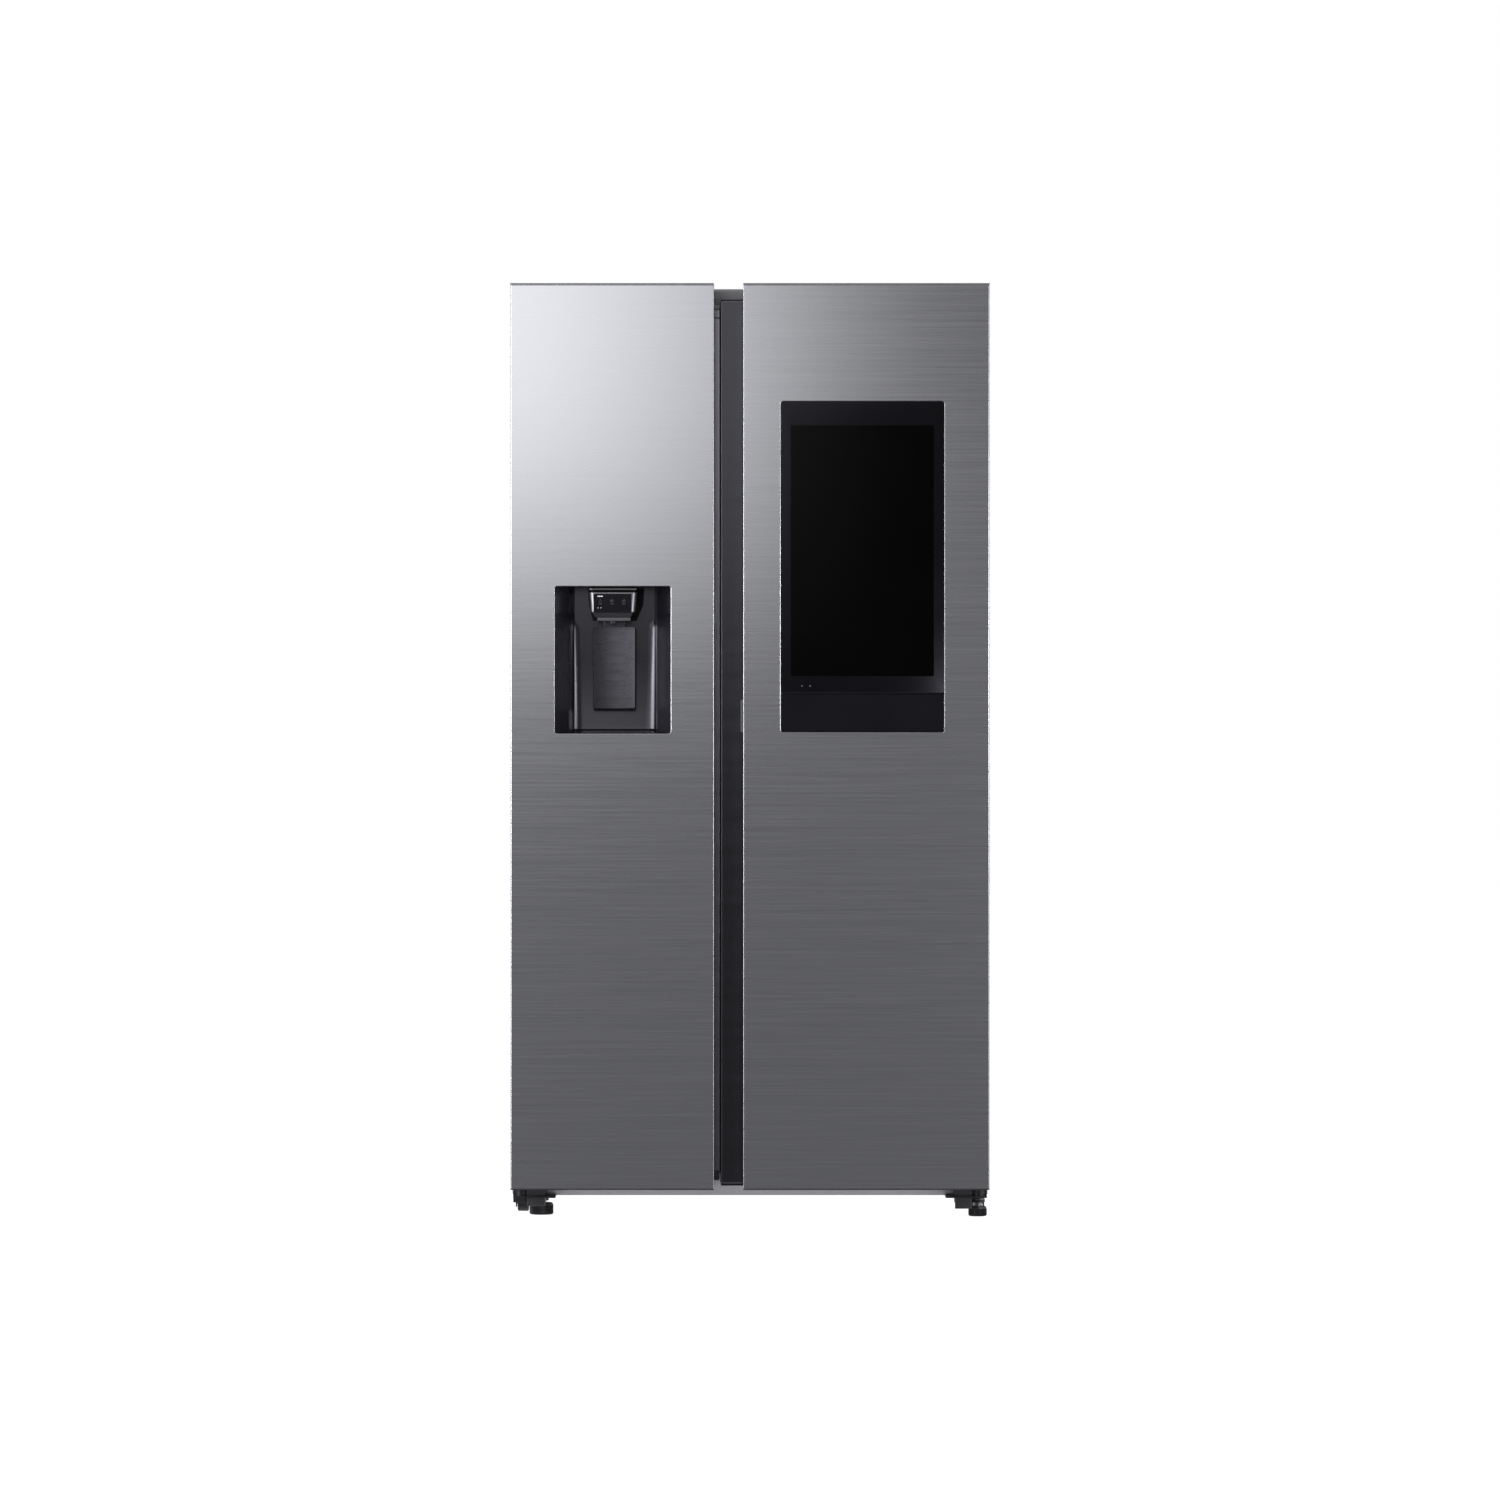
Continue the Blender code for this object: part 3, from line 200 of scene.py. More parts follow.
screen_look = surface(
    "screen_dark", (0.0001, 0.0001, 0.0002), 0.15, 0.0, 30, relief=0.0000005,
    sockets={"Specular IOR Level": 0.14},
)
recess_look = surface(
    "recess_plastic", (0.0030, 0.0028, 0.0046), 0.25, 0.0, 700, relief=0.000004,
    sockets={"Specular Tint": (0.91, 0.89, 1.0, 1.0), "Specular IOR Level": 0.9},
)
# Black plastic that also stands in as painted shadow: behind the head, round the lever and round the fridge's
# grip.
black_and_shade_look = surface(
    "black_and_painted_shade", (0.003, 0.003, 0.004), 0.6, 0.0, 700, relief=0.000004, sockets={"Specular IOR Level": 0.2}
)
head_metal = surface("head_metal", (0.25, 0.246, 0.268), 0.42, 1.0, (60, 60, 900), relief=0.000002)
face_look = surface(
    "face_glass", (0.003, 0.003, 0.004), 0.2, 0.0, 60, relief=0.000001,
    sockets={"Specular Tint": COOL_TINT, "Specular IOR Level": 0.2},
)
spout_metal = surface("spout_metal", (0.155, 0.152, 0.168), 0.42, 1.0, (60, 60, 900), relief=0.000002)
# A lighter copy of the brushed steel for the doors' top edges: painted highlight.
edge_bright = surface("edge_bright", (0.80, 0.80, 0.83), 0.24, 1.0, (40, 900, 900), relief=0.000002)
# A lighter copy of the grip's dark aluminium for the raised edge round its face: painted highlight.
edge_highlight_look = surface("grip_edge", (0.19, 0.186, 0.205), 0.34, 1.0, (8, 900, 1500), (3, 3, 40), relief=0.000004)
bolt_zinc = surface("bolt_zinc", (0.68, 0.68, 0.69), 0.25, 1.0, (600, 600, 2500), 90, tone=0.1)
print_white = surface("print_white", (0.75, 0.76, 0.78), 0.4, 0.0, 900)
print_grey = surface("print_grey", (0.085, 0.085, 0.09), 0.4, 0.0, 900)
mesh_look = surface(
    "speaker_cloth", (0.0045, 0.0043, 0.0065), 0.5, 0.0, (2200, 2200, 500), relief=0.00003,
    sockets={"Specular IOR Level": 0.06},
)
block_look = surface("plastic_block", (0.027, 0.026, 0.031), 0.5, 0.0, 900, relief=0.00003)
# A darker copy of the grey cap plastic for the doors' bottom caps: painted shade.
shaded_end_look = surface("plastic_end_painted_shade", (0.022, 0.0215, 0.025), 0.45, 0.0, 1500)
funnel_look = surface("funnel_metal", (0.105, 0.102, 0.115), 0.38, 1.0, (60, 60, 900), relief=0.000002)

for node in nodes.values():
    for material_slot in node.material_slots:
        material_slot.material = looks[material_slot.material.name.split(".")[0]]


# ---- mesh helpers

def placed(name, bm, look=None):
    """An object in the scene, made from a bmesh that is used up by it."""
    mesh = bpy.data.meshes.new(name)
    bm.to_mesh(mesh)
    bm.free()
    if look:
        mesh.materials.append(look)
    obj = bpy.data.objects.new(name, mesh)
    scene.collection.objects.link(obj)
    return obj


def piece(name, bm, look, body, smooth=50.0):
    """A new piece from a bmesh in the frame's axes, riding on a body."""
    bmesh.ops.recalc_face_normals(bm, faces=bm.faces)
    obj = placed(name, bm, look)
    obj.data.shade_smooth()
    obj.data.set_sharp_from_angle(angle=math.radians(smooth))
    weigh(obj)
    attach(obj, body)
    return obj


def weigh(obj):
    """Shading normals that follow the large flat faces, kept as the last modifier."""
    if "shading" in obj.modifiers:
        obj.modifiers.remove(obj.modifiers["shading"])
    weighted = obj.modifiers.new("shading", "WEIGHTED_NORMAL")
    weighted.weight = 100
    weighted.keep_sharp = True
    return obj


def box_mesh(start, end):
    bm = bmesh.new()
    bmesh.ops.create_cube(bm, size=1.0)
    start = Vector(start)
    size = Vector(end) - start
    for vert in bm.verts:
        vert.co = start + Vector((vert.co[i] + 0.5) * size[i] for i in range(3))
    return bm


def slab(start, end, rounding=0.001, segments=3):
    """A box with all its edges rounded."""
    bm = box_mesh(start, end)
    bmesh.ops.bevel(bm, geom=bm.edges[:], offset=rounding, segments=segments, profile=0.5, affect="EDGES")
    return bm


def bridge(bm, rings, caps=True, wrap=True):
    """Faces between each ring of points and the next, and across the first and last rings."""
    for ring, following in zip(rings, rings[1:]):
        for i in range(len(ring) if wrap else len(ring) - 1):
            j = (i + 1) % len(ring)
            bm.faces.new((ring[i], ring[j], following[j], following[i]))
    if caps:
        bm.faces.new(rings[0])
        bm.faces.new(list(reversed(rings[-1])))
    return bm


def corner_loop(x_range, z_range, radii, steps=6):
    """Points and outward directions round a rectangle with rounded corners, seen from the front.

    radii is one radius, or four: top right, top left, bottom left, bottom right.
    """
    if not hasattr(radii, "__len__"):
        radii = [radii] * 4
    loop = []
    corners = ((1, 1, 0), (0, 1, 90), (0, 0, 180), (1, 0, 270))
    for (at_x, at_z, start), radius in zip(corners, radii):
        centre_x = x_range[at_x] + (-radius if at_x else radius)
        centre_z = z_range[at_z] + (-radius if at_z else radius)
        for i in range(steps + 1):
            angle = math.radians(start + 90 * i / steps)
            out = (math.cos(angle), math.sin(angle))
            loop.append((centre_x + radius * out[0], centre_z + radius * out[1], out))
    return loop


def swept(loop, section):
    """A section of (outward, y) points carried round a loop in the door's plane."""
    bm = bmesh.new()
    rows = []
    for x, z, out in loop:
        rows.append([bm.verts.new((x + out[0] * off, y, z + out[1] * off)) for off, y in section])
    return bridge(bm, rows + rows[:1], caps=False)


def bead(width, y_front, y_back, rounding):
    """Section of a trim line: flat sides and back, rounded front. Its outer side is at 0."""
    points = [(0.0, y_back), (0.0, y_front + rounding)]
    for i in range(1, 6):
        angle = math.pi * i / 6
        reach = width / 2 * (1 - math.cos(angle))
        points.append((-reach, y_front + rounding * (1 - math.sin(angle))))
    points += [(-width, y_front + rounding), (-width, y_back)]
    return points


def rounded_plate(x_range, z_range, radius, y_front, y_back, edge=0.0004):
    """A plate with rounded corners and a softened front edge."""
    bm = bmesh.new()
    loop = corner_loop(x_range, z_range, radius)
    rings = []
    part = edge * 0.3
    for inward, y in ((0.0, y_back), (0.0, y_front + edge), (part, y_front + part), (edge, y_front)):
        rings.append([bm.verts.new((x - out[0] * inward, y, z - out[1] * inward)) for x, z, out in loop])
    return bridge(bm, rings)


def filleted(corners, radii, steps=8):
    """A run of straight lines in plan with each inner corner rounded to its own radius."""
    corners = [Vector((*corner, 0.0)) for corner in corners]
    points = [corners[0]]
    for before, corner, after, radius in zip(corners, corners[1:], corners[2:], radii):
        back = (before - corner).normalized()
        ahead = (after - corner).normalized()
        half = back.angle(ahead) / 2
        centre = corner + (back + ahead).normalized() * radius / math.sin(half)
        reach = radius / math.tan(half)
        first = corner + back * reach - centre
        last = corner + ahead * reach - centre
        points += [centre + first.slerp(last, i / steps) * radius for i in range(steps + 1)]
    points.append(corners[-1])
    return [(point.x, point.y) for point in points]


def folded(corners, z_range, radii):
    """An open upright sheet that follows rounded corners in plan."""
    bm = bmesh.new()
    base = [bm.verts.new((x, y, z_range[0])) for x, y in filleted(corners, radii)]
    edges = [bm.edges.new(pair) for pair in zip(base, base[1:])]
    grown = bmesh.ops.extrude_edge_only(bm, edges=edges)["geom"]
    top = [item for item in grown if isinstance(item, bmesh.types.BMVert)]
    bmesh.ops.translate(bm, vec=(0, 0, z_range[1] - z_range[0]), verts=top)
    return bm


def cutter(name, bm):
    bmesh.ops.recalc_face_normals(bm, faces=bm.faces)
    obj = placed(name, bm)
    obj.hide_render = True
    obj.hide_viewport = True
    return obj


def cut(obj, name, bm):
    modifier = obj.modifiers.new(name, "BOOLEAN")
    modifier.object = cutter(name, bm)


def soften(obj, width, segments=2, weld=False):
    """Rounded edges on a CAD node or a new piece."""
    if weld:
        join = obj.modifiers.new("join", "WELD")
        join.merge_threshold = 0.00002
    rounding = obj.modifiers.new("rounding", "BEVEL")
    rounding.width = width
    rounding.segments = segments
    rounding.limit_method = "ANGLE"
    rounding.angle_limit = math.radians(35.0)
    rounding.harden_normals = True
    return weigh(obj)


def settle(obj, angle):
    """Replaces a new piece's mesh with what its modifiers make of it, then marks its sharp edges."""
    graph = bpy.context.evaluated_depsgraph_get()
    mesh = bpy.data.meshes.new_from_object(obj.evaluated_get(graph))
    obj.modifiers.clear()
    obj.data = mesh
    mesh.set_sharp_from_angle(angle=math.radians(angle))
    return weigh(obj)


def turned(profile, place, axis="Z", steps=40):
    """A profile of (radius, height) points turned about the Z or Y axis through place."""
    bm = bmesh.new()
    points = [bm.verts.new((radius, 0.0, height)) for radius, height in profile]
    edges = [bm.edges.new(pair) for pair in zip(points, points[1:])]
    geometry = points + edges
    bmesh.ops.spin(
        bm, geom=geometry, cent=(0, 0, 0), axis=(0, 0, 1), angle=2 * math.pi, steps=steps, use_merge=True
    )
    bmesh.ops.remove_doubles(bm, verts=bm.verts, dist=0.000005)
    turn = Matrix.Rotation(math.pi / 2, 4, "X") if axis == "Y" else Matrix.Identity(4)
    bmesh.ops.transform(bm, matrix=Matrix.Translation(place) @ turn, verts=bm.verts)
    return bm


# ---- doors

def door_skin(name, side):
    """The brushed face with softly rolled upright edges."""
    start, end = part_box(name + "_panel")
    outer, inner = (start.x, end.x) if side < 0 else (end.x, start.x)
    corners = [(outer, end.y), (outer, FRONT), (inner, FRONT), (inner, FRONT + LIP_DEPTH)]
    bm = folded(corners, (start.z, end.z - EDGE_BEAD), (FOLD, INNER_FOLD))
    skin = placed(name + "_skin", bm, looks["brushed_steel"])
    skin.data.shade_smooth()
    sheet = skin.modifiers.new("sheet", "SOLIDIFY")
    sheet.thickness = SHEET
    sheet.offset = 1.0 if side < 0 else -1.0
    sheet.use_even_offset = True
    sheet.use_quality_normals = True
    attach(skin, name)
    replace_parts(skin, name + "_panel")
    return skin


def window_cutter(x_range, z_range, radius):
    return rounded_plate(x_range, z_range, radius, FRONT - 0.02, FRONT + 0.01)


def window_of(node, left, right):
    """x and z range of the opening in the door's sheet that a housing stands in."""
    start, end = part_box(node)
    return (start.x - left, end.x + right), (start.z - 0.0003, end.z + 0.0006)


dispenser_x, dispenser_z = window_of("dispenser_housing", 0.0022, 0.0003)
display_x, display_z = window_of("display_housing", 0.0022, 0.0000)
DISPENSER_CENTRE = sum(dispenser_x) / 2
CORNER = 0.0055  # rounded corners of both openings


def trim_line(name, x_range, z_range, body):
    loop = corner_loop(x_range, z_range, CORNER, 8)
    section = bead(TRIM, FRONT, FRONT + 0.0011, 0.0003)
    return piece(name, swept(loop, section), chrome, body)


def hinge_room(hinge):
    """Space for a swinging door's upper hinge arm, cut from the sheet's hinge-side return."""
    start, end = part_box(hinge)
    start, end = start - HINGE_MARGIN, end + HINGE_MARGIN
    return box_mesh((start.x, start.y, high("cabinet_shell").z - 0.0005), (end.x, end.y, end.z + 0.1))


def top_edge(name):
    """Rolled edge along the top of a door's sheet, in a lighter copy of the face's steel: a painted highlight
    on its real rounding.
    """
    start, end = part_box(name + "_panel")
    bm = slab((start.x, FRONT, end.z - EDGE_BEAD), (end.x, FRONT + EDGE_BEAD, end.z), EDGE_BEAD * 0.48, 4)
    piece(name + "_top_edge", bm, edge_bright, name, 60)


def skins():
    """Both brushed faces, each with its opening and the bright line round it."""
    openings = ((-1, "freezer_door", dispenser_x, dispenser_z), (1, "fridge_door", display_x, display_z))
    for side, name, x_range, z_range in openings:
        skin = door_skin(name, side)
        cut(skin, name + "_opening", window_cutter(x_range, z_range, CORNER))
        cut(skin, name + "_hinge_room", hinge_room("upper_hinge_left" if side < 0 else "upper_hinge_right"))
        top_edge(name)
        soften(skin, 0.0005)
        trim_line(name + "_trim", x_range, z_range, name)


def open_foam():
    """Clears the freezer door's filling away from the recess's walls."""
    (left, right), (bottom, top) = ((ends[0] - 0.002, ends[1] + 0.002) for ends in (dispenser_x, dispenser_z))
    hollow = box_mesh((left, FRONT - 0.02, bottom), (right, high("dispenser_housing").y, top))
    cut(nodes["freezer_door_foam"], "foam_opening", hollow)


skins()
open_foam()

# ---- finger recesses

GAP_HALF = 0.0009  # half of the dark line between the two doors' inner edges
GRIP_UNDER_LIP = 0.030  # how far a profile's face runs on behind the door's sheet
GRIP_PROUD = 0.0002  # from the recess's floor to the back of a profile's face
FREEZER_GRIP_ENDS = (0.005, 0.0195)  # from the profile's bottom and top ends to its face's ends
FRIDGE_GRIP_ENDS = (0.004, 0.0030)
GRIP_SHARP, GRIP_CORNER = 0.0008, 0.005
KEY_HALF = 0.0115  # half the height of the key on a small service piece


def recess_floor(door):
    """Front of the recess's floor: the nearest point of the profile beside the door's inner edge."""
    handle = nodes[door + "_handle"]
    edge = low(door + "_handle").x if door.startswith("fridge") else high(door + "_handle").x
    return min(vert.co.y for vert in handle.data.vertices if abs(vert.co.x - edge) < 0.008)


def grip_plate(name, door, x_range, z_range, radius, look, edge):
    """The visible face of a finger recess's profile."""
    back = recess_floor(door) - GRIP_PROUD
    bm = rounded_plate(x_range, z_range, radius, back - max(0.0012, edge + 0.0004), back, edge)
    return piece(name, bm, look, door, 60)


def within(node, ends):
    """z range of a node, shortened at its bottom and top."""
    return low(node).z + ends[0], high(node).z - ends[1]


def finger_recesses():
    """The two profiles' faces, a raised edge round the fridge's whose lighter aluminium paints a highlight on
    it, a black plate behind it that paints its shadow, and a service piece on each.
    """
    gap = (high("freezer_door_handle").x + low("fridge_door_handle").x) / 2 - GAP_HALF
    freezer_inner, fridge_inner = high("freezer_door_panel").x, low("fridge_door_panel").x
    freezer_x = (freezer_inner - GRIP_UNDER_LIP, gap - GAP_HALF)
    freezer_z = within("freezer_door_handle", FREEZER_GRIP_ENDS)
    grip_plate("freezer_grip_plate", "freezer_door", freezer_x, freezer_z, GRIP_SHARP, grip_light, 0.0004)
    fridge_x = (gap + GAP_HALF, fridge_inner + GRIP_UNDER_LIP)
    fridge_z = within("fridge_door_handle", FRIDGE_GRIP_ENDS)
    face = looks["dark_steel"]
    grip_plate("fridge_grip_plate", "fridge_door", fridge_x, fridge_z, GRIP_CORNER, face, 0.0016)
    # A black plate a little larger than the fridge's face, behind it: painted shadow round the face.
    around_x = (fridge_x[0] - 0.0005, fridge_x[1] + 0.0005)
    around_z = (fridge_z[0] - 0.0018, fridge_z[1] + 0.0018)
    y = recess_floor("fridge_door")
    under = rounded_plate(around_x, around_z, 0.006, y - 0.0008, y + 0.0006, 0.0002)
    piece("fridge_grip_painted_shadow", under, black_and_shade_look, "fridge_door")
    # The raised edge round the face is in the lighter aluminium: a painted highlight on its rounding.
    section = bead(0.0036, y - 0.0024, y - 0.0006, 0.0016)
    edge_line = swept(corner_loop(fridge_x, fridge_z, GRIP_CORNER), section)
    piece("fridge_grip_edge", edge_line, edge_highlight_look, "fridge_door")
    end_z = (freezer_z[1] + 0.0022, high("freezer_door_handle").z - 0.0028)
    grip_plate("freezer_grip_end", "freezer_door", freezer_x, end_z, GRIP_SHARP, grip_light, 0.0008)
    for door, left, right, bottom, top in (
        ("freezer_door", freezer_inner - 0.012, freezer_inner + 0.0055, 1.0485, 1.1115),
        ("fridge_door", fridge_inner - 0.0050, fridge_inner + 0.012, 0.8655, 0.9265),
    ):
        name = door.split("_")[0] + "_grip_insert"
        y = recess_floor(door)
        foot = low(door + "_handle").z
        bm = rounded_plate((left, right), (foot + bottom, foot + top), 0.0015, y - 0.0048, y - 0.0010, 0.0006)
        piece(name, bm, looks["grey_plastic"], door)
        centre = foot + (bottom + top) / 2
        key_x, key_z = (left + 0.002, right - 0.0012), (centre - KEY_HALF, centre + KEY_HALF)
        bm = rounded_plate(key_x, key_z, GRIP_SHARP, y - 0.0054, y - 0.0046, 0.0003)
        piece(name + "_key", bm, grip_light, door)


finger_recesses()

# ---- dispenser

RECESS_HALF = (dispenser_x[1] - dispenser_x[0]) / 2 - TRIM
RECESS_BACK = high("dispenser_housing").y - 0.002
RECESS_FRONT = FRONT + 0.0009
FLOOR_BACK_Z = dispenser_z[0] + 0.0088
FLOOR_FRONT_Z = dispenser_z[0] + 0.0012
CEILING_Z = dispenser_z[1] - 0.0012
CORNER_TOP = high("dispenser_lever").z - 0.0075  # above this height the rear corners run sharp
CORNER_FADE = 0.014
CORNER_RADIUS = 0.030
CREASE_HALF = 0.0764  # half distance between the creases where the side walls start
INNER_CENTRE = middle("dispenser_lever").x + 0.0012
COVE_TOP = middle("dispenser_lever").z  # below this height the rear wall comes forward
COVE_REACH = 0.0082
FLOOR_FILLET = 0.0015
HEAD_HEIGHT = 0.0445  # of the control head, with the bar on its top
HEAD_BAR = 0.0072  # from the bar's top to the tapered body's top
HEAD_GAP = 0.0026  # from the head's top to the bar's lower side
SIGN_RADIUS = 0.0030
PADDLE_THICKNESS = 0.0060
PADDLE_HOLLOW = 0.0045  # depth of the lever's face in its middle
SIGN_DROP = 0.0135  # from the touch face's top to the signs' middle


def eased(share):
    share = max(0.0, min(1.0, share))
    return share * share * (3 - 2 * share)


def recess_outline(z, forward=0.0):
    """Plan of the recess at a height: front left, round the back, to front right."""
    present = eased((CORNER_TOP - z) / CORNER_FADE)
    depth_share = max(0.0, min(1.0, (CORNER_TOP - z) / (CORNER_TOP - FLOOR_BACK_Z)))
    turn = math.radians(23 + 12 * depth_share)
    radius = 0.0006 + (CORNER_RADIUS - 0.0006) * present
    tangent = radius * math.tan(turn / 2)
    cove = max(0.0, (COVE_TOP - z) / (COVE_TOP - FLOOR_BACK_Z))
    back = RECESS_BACK - COVE_REACH * cove * cove - forward
    sides = []
    for side in (-1, 1):
        crease = INNER_CENTRE - DISPENSER_CENTRE + side * CREASE_HALF
        sides.append([
            (side * RECESS_HALF, RECESS_FRONT),
            (side * (RECESS_HALF - 0.0262), RECESS_FRONT + 0.031),
            (crease, back - tangent * math.sin(turn)),
            (crease - side * tangent * math.cos(turn), back),
        ])
    corners = [*sides[0], *reversed(sides[1])]
    return filleted(corners, (0.003, 0.0003, radius, radius, 0.0003, 0.003), 10)


def recess_levels():
    """Heights of the lining's rings, each with how far the rear wall has curved into the floor."""
    steps = 5
    for i in range(steps):
        angle = math.pi / 2 * i / steps
        yield FLOOR_BACK_Z + FLOOR_FILLET * (1 - math.cos(angle)), FLOOR_FILLET * (1 - math.sin(angle))
    steps = 48
    start = FLOOR_BACK_Z + FLOOR_FILLET
    for i in range(steps + 1):
        yield start + (CEILING_Z - start) * i / steps, 0.0


def recess_lining():
    """Moulded recess: walls in two planes, rear corners that open out below the head, sloping floor."""
    bm = bmesh.new()
    rows = []
    for z, forward in recess_levels():
        row = []
        for x, y in recess_outline(z, forward):
            drop = 0.0
            if z == FLOOR_BACK_Z:
                drop = (FLOOR_BACK_Z - FLOOR_FRONT_Z) * (RECESS_BACK - y) / (RECESS_BACK - RECESS_FRONT)
            row.append(bm.verts.new((DISPENSER_CENTRE + x, y, z - drop)))
        rows.append(row)
    bridge(bm, rows, wrap=False)
    lining = piece("dispenser_lining", bm, recess_look, "freezer_door", 25)
    wall = lining.modifiers.new("wall", "SOLIDIFY")
    wall.thickness = 0.0012
    wall.offset = 1.0 if lining.data.polygons[0].normal.x < 0 else -1.0
    settle(lining, 21)
    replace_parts(lining, "dispenser_housing")
    return lining


def loft(rows):
    """A solid through plan outlines, each (list of (x, y), z), from bottom to top."""
    bm = bmesh.new()
    return bridge(bm, [[bm.verts.new((x, y, z)) for x, y in outline] for outline, z in rows])


def head_outline(half, front, back, radius):
    corners = [(-half, back), (-half, front), (half, front), (half, back)]
    return [(DISPENSER_CENTRE + x, y) for x, y in filleted(corners, (radius, radius), 8)]


def on_freezer(name, bm, look):
    return piece(name, bm, look, "freezer_door")


def dispenser_head():
    """Control head: bright top bar, tapered body with metal corners, touch face, funnel and spout."""
    front, back, top = low("dispenser_head").y, RECESS_BACK - 0.001, high("dispenser_head").z
    base, body_top = top - HEAD_HEIGHT, top - HEAD_BAR

    def tapered(name, levels, look, radius):
        """A block through levels of (half width, distance behind the head's front, height)."""
        rows = [(head_outline(half, front + behind, back, radius), z) for half, behind, z in levels]
        return on_freezer(name, loft(rows), look)

    levels = ((0.0424, 0.0006, base), (0.0428, 0.0, base + 0.0006), (0.0456, 0.0, body_top - 0.0006),
              (0.0452, 0.0006, body_top))
    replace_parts(tapered("dispenser_head_shell", levels, head_metal, 0.0105), "dispenser_head")
    levels = ((0.0440, 0.0180, body_top), (0.0440, 0.0180, top - HEAD_GAP))
    tapered("dispenser_head_neck", levels, black_and_shade_look, 0.007)
    levels = ((0.0459, 0.0, top - HEAD_GAP), (0.0459, 0.0, top + 0.0006))
    soften(tapered("dispenser_head_bar", levels, head_metal, 0.006), 0.0012, 3)
    levels = ((0.0400, 0.0055, base - 0.0012), (0.0400, 0.0055, base))
    tapered("dispenser_funnel_top", levels, looks["black_plastic"], 0.004)
    levels = ((0.0347, 0.0080, base - 0.0098), (0.0388, 0.0030, base - 0.0016))
    soften(tapered("dispenser_funnel", levels, funnel_look, 0.002), 0.0004)
    spout_x = (DISPENSER_CENTRE - 0.0294, DISPENSER_CENTRE + 0.0334)
    spout = slab((spout_x[0], front + 0.0085, base - 0.0168), (spout_x[1], back, base - 0.0104), 0.0006)
    on_freezer("dispenser_spout", spout, spout_metal)
    profile = ((0.0, 0.0), (0.0060, 0.0), (0.0065, -0.0005), (0.0058, -0.0050), (0.0046, -0.0050),
               (0.0046, -0.0010), (0.0, -0.0010))
    nozzle = turned(profile, (DISPENSER_CENTRE, front + 0.024, base - 0.0165))
    on_freezer("dispenser_nozzle", nozzle, looks["black_plastic"])
    face_x = (DISPENSER_CENTRE - 0.0366, DISPENSER_CENTRE + 0.0356)
    face_z = (base + 0.0002, body_top - 0.0026)
    face = rounded_plate(face_x, face_z, 0.0006, front - 0.0005, front + 0.004, 0.0003)
    on_freezer("dispenser_face", face, face_look)
    marks(front - 0.0005, face_z[1])
    painted_head_shadow()


def mark(name, x_range, z_range, y, look, radius=0.0001):
    bm = rounded_plate(x_range, z_range, radius, y - 0.00012, y + 0.0003, 0.00003)
    return on_freezer(name, bm, look)


def stroke(name, points, y, look, closed=True, width=0.00022, body="freezer_door"):
    """A thin raised line through points given as (x, z)."""
    curve = bpy.data.curves.new(name, "CURVE")
    curve.dimensions = "3D"
    curve.bevel_depth = width
    curve.bevel_resolution = 1
    spline = curve.splines.new("POLY")
    spline.points.add(len(points) - 1)
    for target, (x, z) in zip(spline.points, points):
        target.co = (x, y, z, 1.0)
    spline.use_cyclic_u = closed
    curve.materials.append(look)
    obj = bpy.data.objects.new(name, curve)
    scene.collection.objects.link(obj)
    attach(obj, body)
    return obj


def ring_points(x, z, radius, count, turn=0.0):
    angles = [math.radians(turn + 360 * i / count) for i in range(count)]
    return [(x + radius * math.cos(a), z + radius * math.sin(a)) for a in angles]


def marks(y, top):
    """Plain signs for water, ice cubes and crushed ice, a status bar and two lamps."""
    left = DISPENSER_CENTRE - 0.0290
    mark("mark_status", (left, left + 0.0104), (top - 0.0056, top - 0.0042), y, print_white)
    centres = [DISPENSER_CENTRE + offset for offset in (-0.0235, -0.0017, 0.0212)]
    z = top - SIGN_DROP
    drop = []
    for i in range(20):
        angle = 2 * math.pi * i / 20
        half = 0.0021 * math.sin(angle) * (0.55 - 0.45 * math.cos(angle))
        drop.append((centres[0] + half, z + SIGN_RADIUS * math.cos(angle)))
    stroke("mark_water", drop, y, print_grey)
    stroke("mark_cube", ring_points(centres[1], z, SIGN_RADIUS, 6, 30), y, print_grey)
    for i in range(3):
        angle = math.radians(90 + 120 * i)
        tip = (centres[1] + SIGN_RADIUS * math.cos(angle), z - SIGN_RADIUS * math.sin(angle))
        stroke(f"mark_cube_edge_{i}", [(centres[1], z), tip], y, print_grey, False)
    for i, (dx, dz) in enumerate(((-0.0019, -0.0012), (0.0017, -0.0016), (0.0, 0.0019))):
        lump = ring_points(centres[2] + dx, z + dz, SIGN_RADIUS / 2, 5, 36 * i)
        stroke(f"mark_crushed_{i}", lump, y, print_grey)
    for i, centre in enumerate(centres):
        line = (centre - SIGN_RADIUS, centre + SIGN_RADIUS)
        mark(f"mark_line_{i}", line, (z - 0.0062, z - 0.0056), y, print_grey)
    for i in range(2):
        centre = left + 0.0012 + i * 0.0052
        dot = (centre - 0.0006, centre + 0.0006)
        mark(f"mark_lamp_{i}", dot, (top - 0.0276, top - 0.0264), y, print_white, 0.00055)


def painted_head_shadow():
    """A thin black plate on the rear wall round the head: painted shadow where the head stands in shade."""
    top, bottom = CEILING_Z - 0.0015, CORNER_TOP - 0.0035
    shoulder = bottom + 0.030
    outline = ((-0.0487, top), (0.0589, top), (0.0570, shoulder), (0.0440, bottom), (-0.0390, bottom),
               (-0.0470, shoulder))
    bm = bmesh.new()
    rings = []
    for y in (RECESS_BACK - 0.0012, RECESS_BACK - 0.0002):
        rings.append([bm.verts.new((DISPENSER_CENTRE + x, y, z)) for x, z in outline])
    soften(on_freezer("dispenser_head_painted_shadow", bridge(bm, rings), black_and_shade_look), 0.0005)


